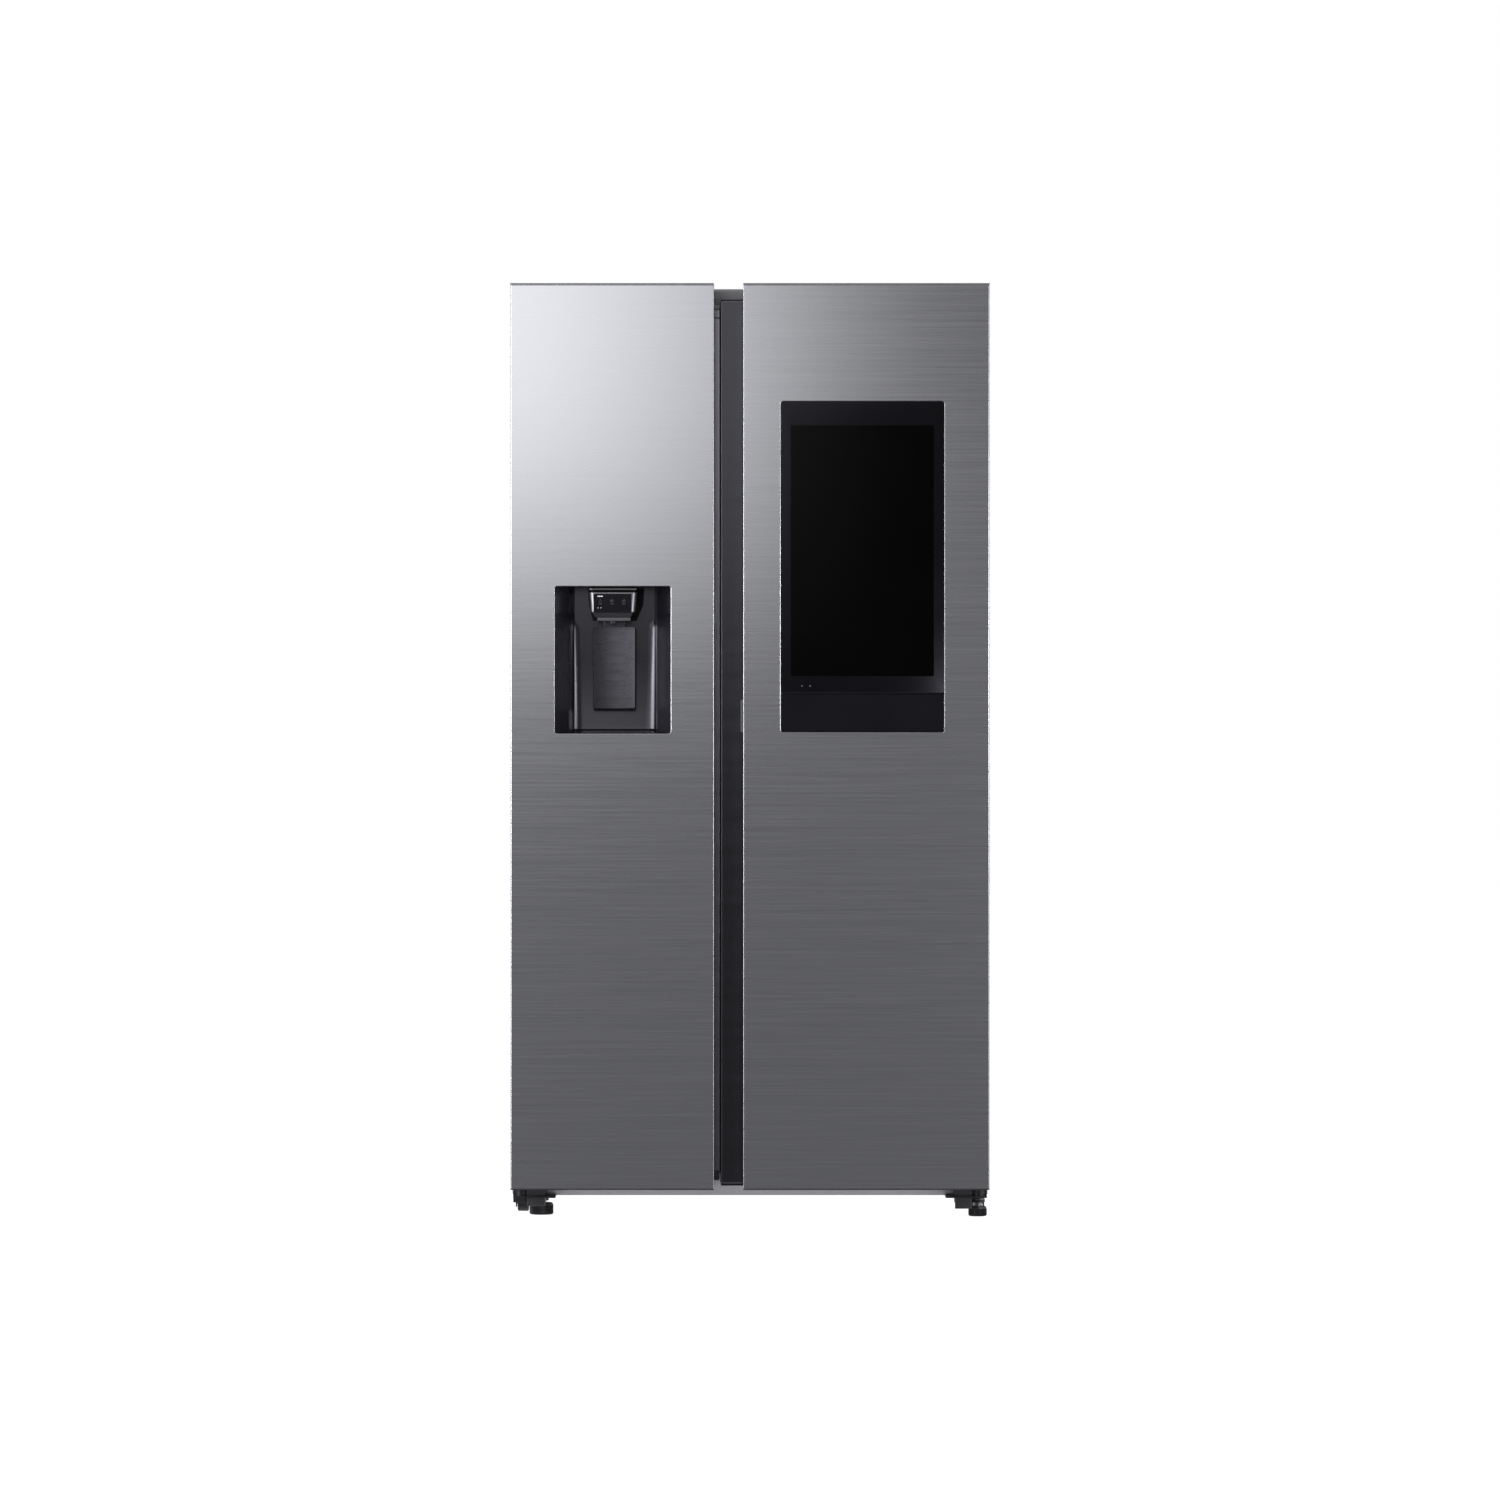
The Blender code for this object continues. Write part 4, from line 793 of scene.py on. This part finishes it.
def paddle():
    """The lever's face, slightly hollow across its width, with a cup sign on it."""
    start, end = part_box("dispenser_lever")
    half = (end.x - start.x) / 2
    centre = INNER_CENTRE
    bottom, top = start.z, plate_top()
    front, back = start.y, start.y + PADDLE_THICKNESS
    radius = 0.003
    bm = bmesh.new()
    uv = bm.loops.layers.uv.new("face")
    columns = []
    steps = 40
    for i in range(steps + 1):
        x = half * math.sin(math.pi * (i / steps - 0.5))
        over = max(0.0, abs(x) - (half - radius))
        pull = radius - math.sqrt(max(0.0, radius * radius - over * over))
        y = front + PADDLE_HOLLOW * (1 - (x / half) ** 2)
        low_z, high_z = bottom + pull, top - pull
        section = ((y, low_z), (y, high_z), (back, high_z), (back, low_z))
        columns.append([bm.verts.new((centre + x, *point)) for point in section])
    bridge(bm, columns)
    for face in bm.faces:
        for loop in face.loops:
            loop[uv].uv = (loop.vert.co.z, loop.vert.co.x)
    plate = piece("dispenser_paddle", bm, lever_look(), "dispenser_lever", 30)
    soften(plate, 0.0007, 3)
    # A black pad a little larger than the lever, behind it: painted shadow round the lever.
    pad_x = (centre - half - 0.0014, centre + half + 0.0014)
    pad = rounded_plate(pad_x, (bottom - 0.0026, top), 0.004, back - 0.0008, back + 0.0004)
    piece("dispenser_paddle_pad", pad, black_and_shade_look, "dispenser_lever")
    arm = slab((centre - 0.0200, back + 0.0006, top - 0.030), (centre + 0.0200, end.y + 0.0002, end.z), 0.001)
    arm_piece = piece("dispenser_paddle_arm", arm, recess_look, "dispenser_lever")
    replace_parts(arm_piece, "dispenser_lever")
    middle_z = (bottom + top) / 2
    for name, points in (
        ("cup", ((-0.0060, 0.0010), (-0.0045, -0.0085), (0.0045, -0.0085), (0.0060, 0.0010))),
        ("rim", ((-0.0085, 0.0032), (0.0085, 0.0032))),
        ("flow", ((-0.0035, 0.0062), (0.0, 0.0082), (0.0035, 0.0062))),
    ):
        line = [(centre + x, middle_z + z) for x, z in points]
        y = front + PADDLE_HOLLOW - 0.00005
        stroke("paddle_" + name, line, y, looks["black_plastic"], False, 0.0003, "dispenser_lever")


def plate_top():
    """Top of the lever's plate: the widest part of the lever ends there."""
    left = low("dispenser_lever").x + 0.004
    return max(vert.co.z for vert in nodes["dispenser_lever"].data.vertices if vert.co.x < left)


def lever_look():
    """Dark metal brushed across, so that its shine spreads up and down."""
    made = surface(
        "lever_brushed", (0.140, 0.137, 0.156), 0.32, 1.0, (6, 900, 620), (4, 20, 260),
        tone=0.16, tone_from_grain=True, relief=0.000006, sockets={"Anisotropic": 0.7},
    )
    tree = made.node_tree
    tangent = tree.nodes.new("ShaderNodeTangent")
    tangent.direction_type = "UV_MAP"
    tangent.uv_map = "face"
    tree.links.new(tangent.outputs["Tangent"], tree.nodes["Principled BSDF"].inputs["Tangent"])
    return made


recess_lining()
dispenser_head()
paddle()

# ---- display

SPEAKER_MARGIN = 0.0026
GLASS_EDGE = 0.0004


def on_display(name, bm, look):
    return piece(name, bm, look, "fridge_door")


def display_panel():
    """Black glass with the screen under it, and the speaker cloth below."""
    (left, right), (bottom, top) = ((ends[0] + TRIM, ends[1] - TRIM) for ends in (display_x, display_z))
    split = low("display_glass").z
    radius = CORNER - TRIM
    upper, lower = (radius, radius, GLASS_EDGE, GLASS_EDGE), (GLASS_EDGE, GLASS_EDGE, radius, radius)
    glass = rounded_plate((left, right), (split, top), upper, FRONT + 0.0004, FRONT + 0.003, GLASS_EDGE)
    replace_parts(on_display("display_cover", glass, looks["display_glass"]), "display_glass")
    screen_x, screen_z = (left + 0.0191, right - 0.0199), (split + 0.0318, top - 0.0460)
    screen = rounded_plate(screen_x, screen_z, 0.0008, FRONT + 0.0002, FRONT + 0.0012, 0.0001)
    on_display("display_screen", screen, screen_look)
    for i, (offset, drop) in enumerate(((0.1141, 0.0134), (0.1946, 0.0130))):
        dot_at(f"display_sensor_{i}", left + offset, top - drop, 0.0011, screen_look)
    for i in range(2):
        dot_at(f"display_lamp_{i}", left + 0.0405 + 0.0158 * i, split + 0.0134, 0.0013, print_grey)
    rim_z = (bottom, split - GLASS_EDGE)
    base = rounded_plate((left, right), rim_z, lower, FRONT + 0.0022, FRONT + 0.003, 0.0003)
    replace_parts(on_display("speaker_base", base, black_and_shade_look), "speaker_grille")
    cloth_x = (left + SPEAKER_MARGIN, right - SPEAKER_MARGIN)
    cloth_z = (bottom + SPEAKER_MARGIN, split - SPEAKER_MARGIN)
    corners = (0.001, 0.001, radius, radius)
    cloth = rounded_plate(cloth_x, cloth_z, corners, FRONT + 0.0006, FRONT + 0.0024, 0.0006)
    on_display("speaker_cloth", cloth, mesh_look)
    section = bead(0.0016, FRONT + 0.0003, FRONT + 0.0025, 0.0005)
    rim = swept(corner_loop((left, right), rim_z, lower), section)
    on_display("speaker_rim", rim, looks["display_glass"])
    lip = slab((left, FRONT + 0.0002, split - 0.0001), (right, FRONT + 0.0016, split + 0.0009), 0.0004)
    on_display("display_lower_edge", lip, recess_look)


def dot_at(name, x, z, radius, look):
    profile = ((0.0, 0.0), (radius * 0.8, 0.0), (radius, -0.0001), (radius, -0.0008), (0.0, -0.0008))
    on_display(name, turned(profile, (x, FRONT + 0.0002, z), "Y", 20), look)


display_panel()

# ---- ends, sill and feet

THREAD_ROOT, THREAD_PITCH, STEM_RADIUS = 0.0080, 0.0012, 0.0088
ROUNDINGS = {
    0.0003: "base_plate",
    0.0004: "machine_cover",
    0.0005: "upper_hinge_left upper_hinge_right cord_gland",
    0.0006: "freezer_bin_lower freezer_bin_upper fridge_bin_lower fridge_bin_upper",
    0.0008: "freezer_liner fridge_liner evaporator_cover crisper_upper crisper_lower freezer_drawer_upper "
            "freezer_drawer_lower",
    0.0012: "lower_hinge_left lower_hinge_right top_cover freezer_door_liner fridge_door_liner "
            "freezer_door_gasket fridge_door_gasket",
    0.002: "ice_maker",
}

def door_ends():
    """Bottom caps under both doors in a darker copy of the grey cap plastic: painted shade under the doors.
    """
    for door in ("freezer_door", "fridge_door"):
        for material_slot in nodes[door + "_bottom_cap"].material_slots:
            material_slot.material = shaded_end_look


SILL_TOP = 0.0985


def sill():
    """Painted rail across the case's foot."""
    reach = low("lower_hinge_right").x - 0.0005
    y = low("front_frame").y
    bm = slab((-reach, y - 0.0002, low("cabinet_shell").z - 0.0016), (reach, y + 0.0003, SILL_TOP), 0.0001, 1)
    piece("sill", bm, looks["frame_paint"], "cabinet")


def knurled(radius, height, teeth):
    """Outline rings of a levelling disc: ribbed side, plain rounded top and bottom rims."""
    rows = []
    for z, inset, depth in (
        (0.0, 0.0022, 0.0), (0.0012, 0.0008, 0.0), (0.0022, 0.0, 0.0010), (height - 0.0048, 0.0, 0.0010),
        (height - 0.0040, 0.0004, 0.0), (height - 0.0012, 0.0012, 0.0), (height, 0.0034, 0.0),
    ):
        outline = []
        for i in range(teeth * 4):
            angle = 2 * math.pi * i / (teeth * 4)
            reach = radius - inset - (0.0 if i % 2 else depth)
            outline.append((reach * math.cos(angle), reach * math.sin(angle)))
        rows.append((outline, z))
    return rows


BLOCK_X = {-1: (0.3923, 0.4262), 1: (0.3918, 0.4216)}  # inner and outer faces, from the middle
BLOCK_BASE = {-1: 0.0206, 1: 0.0245}
SHIELD_BASE = {-1: 0.0270, 1: 0.0385}
SHIELD_REACH = 0.4530
APRON_REACH, APRON_BASE = 0.4240, 0.0153
SCREW_PLACE, SCREW_STEP = (0.4330, 0.0465), (0.0115, -0.0075)


def adjuster_block(side):
    """Dark moulded block in front of a lower hinge, a shield beside it, and an apron on the right."""
    hinge = "lower_hinge_left" if side < 0 else "lower_hinge_right"
    front = low(hinge).y
    top = low("freezer_door_bottom_cap").z - 0.0015

    def plate(part, reaches, base, depths, rounding, look):
        near, far = sorted(side * reach for reach in reaches)
        bm = slab((near, front + depths[0], base), (far, front + depths[1], top), rounding)
        piece(f"{hinge}_{part}", bm, look, "cabinet")

    inner, outer = BLOCK_X[side]
    plate("block", (inner, outer), BLOCK_BASE[side], (0.0045, 0.044), 0.0016, block_look)
    if side > 0:
        plate("apron", (inner, APRON_REACH), APRON_BASE, (0.0040, 0.0095), 0.0018, block_look)
    shield_x = (outer + 0.0006, SHIELD_REACH)
    plate("shield", shield_x, SHIELD_BASE[side], (0.0085, 0.0105), 0.0007, looks["black_plastic"])
    for i in range(2):
        x = side * (SCREW_PLACE[0] + SCREW_STEP[0] * i)
        z = SCREW_PLACE[1] + SCREW_STEP[1] * i * (side < 0)
        head = ((0.0, 0.0014), (0.0016, 0.0013), (0.0027, 0.0008), (0.0030, 0.0), (0.0, 0.0))
        bm = turned(head, (x, front + 0.0085, z), "Y", 20)
        piece(f"{hinge}_screw_{i}", bm, bolt_zinc, "cabinet")


def levelling_foot(name):
    """Ribbed disc on a zinc-plated threaded stem, with a washer and a nut at its top."""
    start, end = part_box(name)
    centre = Vector(((start.x + end.x) / 2, (start.y + end.y) / 2, start.z))
    radius = (end.x - start.x) / 2
    height = 0.019 if radius < 0.020 else 0.0225
    bm = loft(knurled(radius, height, 30))
    bmesh.ops.translate(bm, vec=centre, verts=bm.verts)
    disc = piece(name + "_disc", bm, looks["black_plastic"], name, 40)
    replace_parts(disc, name)
    centre.z = 0.0
    top = end.z - 0.0004
    profile = [(0.0, top), (THREAD_ROOT, top), (0.0086, top - 0.0006)]
    z = top - 0.0010
    while z > height - 0.0004:
        profile += [(0.0090, z), (THREAD_ROOT, z - THREAD_PITCH / 2)]
        z -= THREAD_PITCH
    profile += [(STEM_RADIUS, height - 0.001), (0.0, height - 0.001)]
    piece(name + "_stem", turned(profile, centre), bolt_zinc, name, 25)
    edge = 0.0004
    for part, look, reach, low_z, high_z in (
        ("washer", bolt_zinc, 0.0141, top - 0.0030, top - 0.0014),
        ("nut", looks["black_plastic"], 0.0142, top - 0.0088, top - 0.0031),
    ):
        ring = ((STEM_RADIUS, high_z), (reach - edge, high_z), (reach, high_z - edge), (reach, low_z + edge),
                (reach - edge, low_z), (STEM_RADIUS, low_z), (STEM_RADIUS, high_z))
        piece(f"{name}_{part}", turned(ring, centre, "Z", 48), look, name, 25)


door_ends()
sill()
for hinge_side in (-1, 1):
    adjuster_block(hinge_side)
for foot in ("foot_left", "foot_right"):
    levelling_foot(foot)
for width, names in ROUNDINGS.items():
    for node_name in names.split():
        soften(nodes[node_name], width, weld=True)

# ---- back, seams and inside

def fitted(name, ends, look, body, rounding=0.0006):
    """A softly edged bar or plate between two corners."""
    ranges = [sorted(pair) for pair in zip(*ends)]
    return piece(name, slab(*zip(*ranges), rounding, 2), look, body)


def white(name, ends, rounding, body="cabinet"):
    return fitted(name, ends, looks["white_plastic"], body, rounding)


def front_bar(node, margin, depths, rises):
    """Corners of a bar across a node's front: y from the front, z from the top."""
    start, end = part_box(node)
    return (
        (start.x + margin, start.y + depths[0], end.z + rises[0]),
        (end.x - margin, start.y + depths[1], end.z + rises[1]),
    )


def screw(name, place, axis, way, radius=0.0042):
    """Pan head with a socket in it, on the cabinet; way is 1 where the head looks along its axis."""
    head = ((0.0, 0.0), (radius, 0.0), (radius, 0.0004), (radius * 0.85, 0.0011), (radius * 0.5, 0.0015),
            (radius * 0.36, 0.0015), (radius * 0.34, 0.0006), (0.0, 0.0006))
    profile = [(reach, way * height) for reach, height in head]
    return piece(name, turned(profile, place, axis, 18), bolt_zinc, "cabinet", 30)


CHANNEL_HALF, CHANNEL_DEPTH = 0.006, 0.0009


def channel(reach, z, y):
    """Cutter for a shallow round-bottomed channel that runs sideways across a rear face at y."""
    bm = bmesh.new()
    section = [(y + 0.002, z + CHANNEL_HALF), (y + 0.002, z - CHANNEL_HALF)]
    for i in range(13):
        share = -1 + i / 6
        section.append((y - CHANNEL_DEPTH * (1 - share * share), z + CHANNEL_HALF * share))
    return bridge(bm, [[bm.verts.new((x, *point)) for point in section] for x in (-reach, reach)])


def back():
    """Corner posts beside the machine cover, pressed channels in the rear panel, cover screws."""
    cover_low, cover_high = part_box("machine_cover")
    panel_low, panel_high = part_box("rear_panel")
    shell_back = high("cabinet_shell").y
    for side in (-1, 1):
        start = (side * (cover_high.x - 0.006), cover_high.y + 0.0002, cover_low.z)
        end = (side * panel_high.x, shell_back - 0.0001, cover_high.z - 0.0002)
        fitted(f"rear_post_{side + 1}", (start, end), looks["zinc_plate"], "cabinet", 0.0004)
    rear = nodes["rear_panel"]
    rise = (panel_high.z - panel_low.z) / 5
    for i in range(1, 5):
        cut(rear, f"bead_{i}", channel(panel_high.x - 0.070, panel_low.z + rise * i, shell_back))
    soften(rear, 0.0003)
    for i, x in enumerate((-0.425, -0.215, 0.215, 0.425)):
        for j, z in enumerate((cover_low.z + 0.008, cover_high.z - 0.008)):
            screw(f"cover_screw_{i}_{j}", (x, cover_high.y, z), "Y", -1, 0.0036)


def door_seams():
    """Plugs over the filling's ends beside both finger recesses, strips along the freezer door's back."""
    plug_looks = {"bottom": looks["black_plastic"], "top": looks["grey_plastic"]}
    for door in ("freezer_door", "fridge_door"):
        foam_low, foam_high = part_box(door + "_foam")
        grip_low, grip_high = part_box(door + "_handle")
        if door == "freezer_door":
            x_range = (high(door + "_panel").x - 0.0040, foam_high.x + 0.0006)
            bottom = (foam_low.z - 0.0001, grip_low.z - 0.0002)
            top = (grip_high.z + 0.0002, foam_high.z + 0.0002)
        else:
            x_range = (foam_low.x + 0.0004, low(door + "_panel").x - 0.0002)
            bottom = (grip_low.z + 0.0004, foam_low.z - 0.0001)
            top = (foam_high.z + 0.0001, grip_high.z - 0.0004)
        y_range = (recess_floor(door) + 0.0008, grip_high.y - 0.0006)
        for end_name, z_range in (("bottom", bottom), ("top", top)):
            ends = zip(x_range, y_range, z_range)
            fitted(f"{door}_plug_{end_name}", ends, plug_looks[end_name], door, 0.0005)
    foam_low, foam_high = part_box("freezer_door_foam")
    foot = [vert.co.x for vert in nodes["freezer_door_foam"].data.vertices if vert.co.z < foam_low.z + 0.001]
    start = (max(foot) - 0.003, FRONT + 0.0018, foam_low.z - 0.0001)
    end = (max(foot) + 0.0012, recess_floor("freezer_door") + 0.0010, low("freezer_door_handle").z + 0.0008)
    fitted("freezer_door_filler", (start, end), looks["black_plastic"], "freezer_door", 0.0004)
    liner_low, liner_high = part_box("freezer_door_liner")
    x_range = (foam_low.x + 0.0003, foam_high.x - 0.0003)
    y_range = (liner_low.y - 0.0012, liner_low.y + 0.0006)
    top, bottom = (liner_high.z + 0.0001, foam_high.z), (foam_low.z, liner_low.z - 0.0001)
    for end_name, z_range in (("top", top), ("bottom", bottom)):
        white(f"freezer_back_strip_{end_name}", zip(x_range, y_range, z_range), 0.0004, "freezer_door")


def top_screws():
    """Screws on the top cover."""
    start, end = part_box("top_cover")
    for i, x in enumerate((-0.40, -0.14, 0.14, 0.40)):
        screw(f"top_screw_{i}", (x, start.y + 0.075, end.z), "Z", 1)


SHELVES = "freezer_shelf_lower freezer_shelf_upper fridge_shelf_lower fridge_shelf_upper crisper_cover"


def shelves():
    """White front trims and rear rails on the glass shelves and on the crisper cover."""
    for name in SHELVES.split():
        start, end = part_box(name)
        thickness = end.z - start.z
        bar = front_bar(name, 0.002, (-0.0016, 0.0105), (-0.0035 - thickness, 0.0016))
        trim = white(name + "_trim", bar, 0.0015)
        slot = front_bar(name, 0.0, (-0.00005, 0.02), (-0.0001 - thickness, 0.0001))
        cut(trim, name + "_slot", box_mesh(*slot))
        rail = (start.x + 0.002, end.y - 0.012, end.z), (end.x - 0.002, end.y - 0.002, end.z + 0.005)
        white(name + "_rail", rail, 0.0012)


def drawer_fronts():
    """Pull bars and bands across the crispers' and freezer drawers' fronts."""
    for name in ("crisper_upper", "crisper_lower", "freezer_drawer_upper", "freezer_drawer_lower"):
        margin = (high(name).x - low(name).x) * 0.20
        bar = slab(*front_bar(name, margin, (-0.0075, 0.0002), (-0.036, -0.012)), 0.003)
        pull = piece(name + "_pull", bar, looks["white_plastic"], name)
        finger = front_bar(name, margin + 0.006, (-0.0058, 0.004), (-0.045, -0.019))
        cut(pull, name + "_finger", slab(*finger, 0.002))
        band = front_bar(name, 0.010, (-0.0010, 0.0002), (-0.0085, -0.0035))
        white(name + "_band", band, 0.0004, name)


def bin_rims():
    """White lips along the door bins' fronts."""
    for name in ("freezer_bin_lower", "freezer_bin_upper", "fridge_bin_lower", "fridge_bin_upper"):
        start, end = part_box(name)
        rim = (start.x + 0.006, end.y - 0.0002, end.z - 0.018), (end.x - 0.006, end.y + 0.0022, end.z - 0.004)
        white(name + "_rim", rim, 0.001, name.split("_")[0] + "_door")


def lamps():
    """Flat lamp lenses under both liners' ceilings and a front panel on the ice maker."""
    for liner in ("freezer_liner", "fridge_liner"):
        margin = (high(liner).x - low(liner).x) / 2 - 0.055
        lens = front_bar(liner, margin, (0.055, 0.125), (-0.0075, -0.0014))
        fitted(liner + "_lamp", lens, looks["clear_plastic"], "cabinet", 0.002)
    height = high("ice_maker").z - low("ice_maker").z
    face = front_bar("ice_maker", 0.014, (-0.0012, 0.0002), (0.030 - height, -0.014))
    white("ice_maker_front", face, 0.001)
    grip = front_bar("ice_maker", 0.070, (-0.0060, 0.0002), (0.010 - height, 0.024 - height))
    fitted("ice_maker_grip", grip, looks["grey_plastic"], "cabinet", 0.002)


back()
door_seams()
top_screws()
shelves()
drawer_fronts()
bin_rims()
lamps()

# ---- studio

WORLD_STOPS = ((0.0, 0.146), (0.12, 0.146), (0.30, 0.30), (0.5, 0.70), (1.0, 0.75))
KEY_POWER, KEY_SIZE, KEY_CENTRE, KEY_REACH = 15.9, (1.85, 1.80), (-0.50, 1.78), 1.6
KEY_FADE_X, KEY_FADE_Z = (-0.45, 0.32), (1.02, 1.575)
SIDE_REACH, SIDE_HEIGHT = 2.6, 1.1
SIDE_LIGHTS = (
    ("strip_left", -59, 33.0, (0.75, 2.4)), ("strip_right", 59, 18.0, (0.75, 2.4)),
    ("card_left", -47, 11.0, (0.45, 0.6)), ("card_right", 47, 11.0, (0.45, 0.6)),
)


def area_light(name, place, target, size, power):
    data = bpy.data.lights.new(name, "AREA")
    data.shape = "RECTANGLE"
    data.size, data.size_y = size
    data.energy = power
    obj = bpy.data.objects.new(name, data)
    obj.location = place
    obj.rotation_euler = (Vector(target) - Vector(place)).to_track_quat("-Z", "Y").to_euler()
    obj.visible_camera = False
    scene.collection.objects.link(obj)
    return obj


def surroundings():
    """World light that is dim towards the doors' front and bright behind the case."""
    world = bpy.data.worlds.new("studio")
    scene.world = world
    world.use_nodes = True
    tree = world.node_tree
    where = tree.nodes.new("ShaderNodeTexCoord")
    split = tree.nodes.new("ShaderNodeSeparateXYZ")
    ramp = tree.nodes.new("ShaderNodeValToRGB")
    tree.links.new(where.outputs["Generated"], split.inputs["Vector"])
    tree.links.new(map_range(tree, split.outputs["Y"], (-1.0, 1.0)), ramp.inputs["Fac"])
    tree.links.new(ramp.outputs["Color"], tree.nodes["Background"].inputs["Color"])
    elements = ramp.color_ramp.elements
    while len(elements) < len(WORLD_STOPS):
        elements.new(0.5)
    for element, (position, level) in zip(elements, WORLD_STOPS):
        element.position = position
        element.color = (level, level, level * 1.04, 1.0)


def studio():
    """Pale floor, white surround, a soft key light before the top left, and lights at both sides."""
    surroundings()
    sphere = box_mesh((-1, -1, -1), (1, 1, 1))
    bmesh.ops.subdivide_edges(sphere, edges=sphere.edges[:], cuts=6, use_grid_fill=True)
    for vert in sphere.verts:
        vert.co = vert.co.normalized() * 60.0
    backdrop = stage_object("surround", sphere, 1.0, (0, 0, 0))
    floor = stage_object("floor", box_mesh((-25, -25, -0.02), (25, 25, -0.0004)), 0.86, (0.9, 0.9, 0.9))
    for obj in (backdrop, floor):
        obj.visible_diffuse = False
        obj.visible_glossy = False
        obj.visible_transmission = False
        obj.visible_volume_scatter = False
        obj.visible_shadow = False
    floor.visible_diffuse = True
    floor.data.materials[0].cycles.emission_sampling = "NONE"
    x, z = KEY_CENTRE
    key = area_light("key", (x, FRONT - KEY_REACH, z), (x, FRONT, z), KEY_SIZE, KEY_POWER)
    fade(key.data, KEY_FADE_X, KEY_FADE_Z)
    for name, degrees, power, size in SIDE_LIGHTS:
        turn = math.radians(degrees)
        place = (SIDE_REACH * math.sin(turn), FRONT - SIDE_REACH * math.cos(turn), SIDE_HEIGHT)
        area_light(name, place, (0.0, FRONT, SIDE_HEIGHT), size, power)


def fade(light, x_range, z_range):
    """Lets a light fall off evenly towards its right and lower sides."""
    light.use_nodes = True
    tree = light.node_tree
    where = tree.nodes.new("ShaderNodeNewGeometry")
    split = tree.nodes.new("ShaderNodeSeparateXYZ")
    tree.links.new(where.outputs["Position"], split.inputs["Vector"])
    product = tree.nodes.new("ShaderNodeMath")
    product.operation = "MULTIPLY"
    for factor, (axis, source_range) in enumerate((("X", x_range[::-1]), ("Z", z_range))):
        tree.links.new(map_range(tree, split.outputs[axis], source_range), product.inputs[factor])
    tree.links.new(product.outputs["Value"], tree.nodes["Emission"].inputs["Strength"])


def stage_object(name, bm, glow, colour):
    """A glowing surface of the studio, which is no part of the refrigerator."""
    made = bpy.data.materials.new(name)
    made.use_nodes = True
    shader = made.node_tree.nodes["Principled BSDF"]
    for socket, value in (
        ("Base Color", (*colour, 1.0)), ("Roughness", 0.9), ("Specular IOR Level", 0.0),
        ("Emission Color", (1, 1, 1, 1)), ("Emission Strength", glow),
    ):
        shader.inputs[socket].default_value = value
    obj = placed(name, bm, made)
    return obj


def camera():
    data = bpy.data.cameras.new("camera")
    data.lens = LENS
    data.sensor_width = SENSOR
    data.clip_end = 200.0
    obj = bpy.data.objects.new("camera", data)
    obj.location = (0.0, FRONT - CAMERA_DISTANCE, CAMERA_HEIGHT)
    obj.rotation_euler = (math.pi / 2, 0.0, 0.0)
    scene.collection.objects.link(obj)
    scene.camera = obj


studio()
camera()
scene.view_settings.view_transform = "Standard"
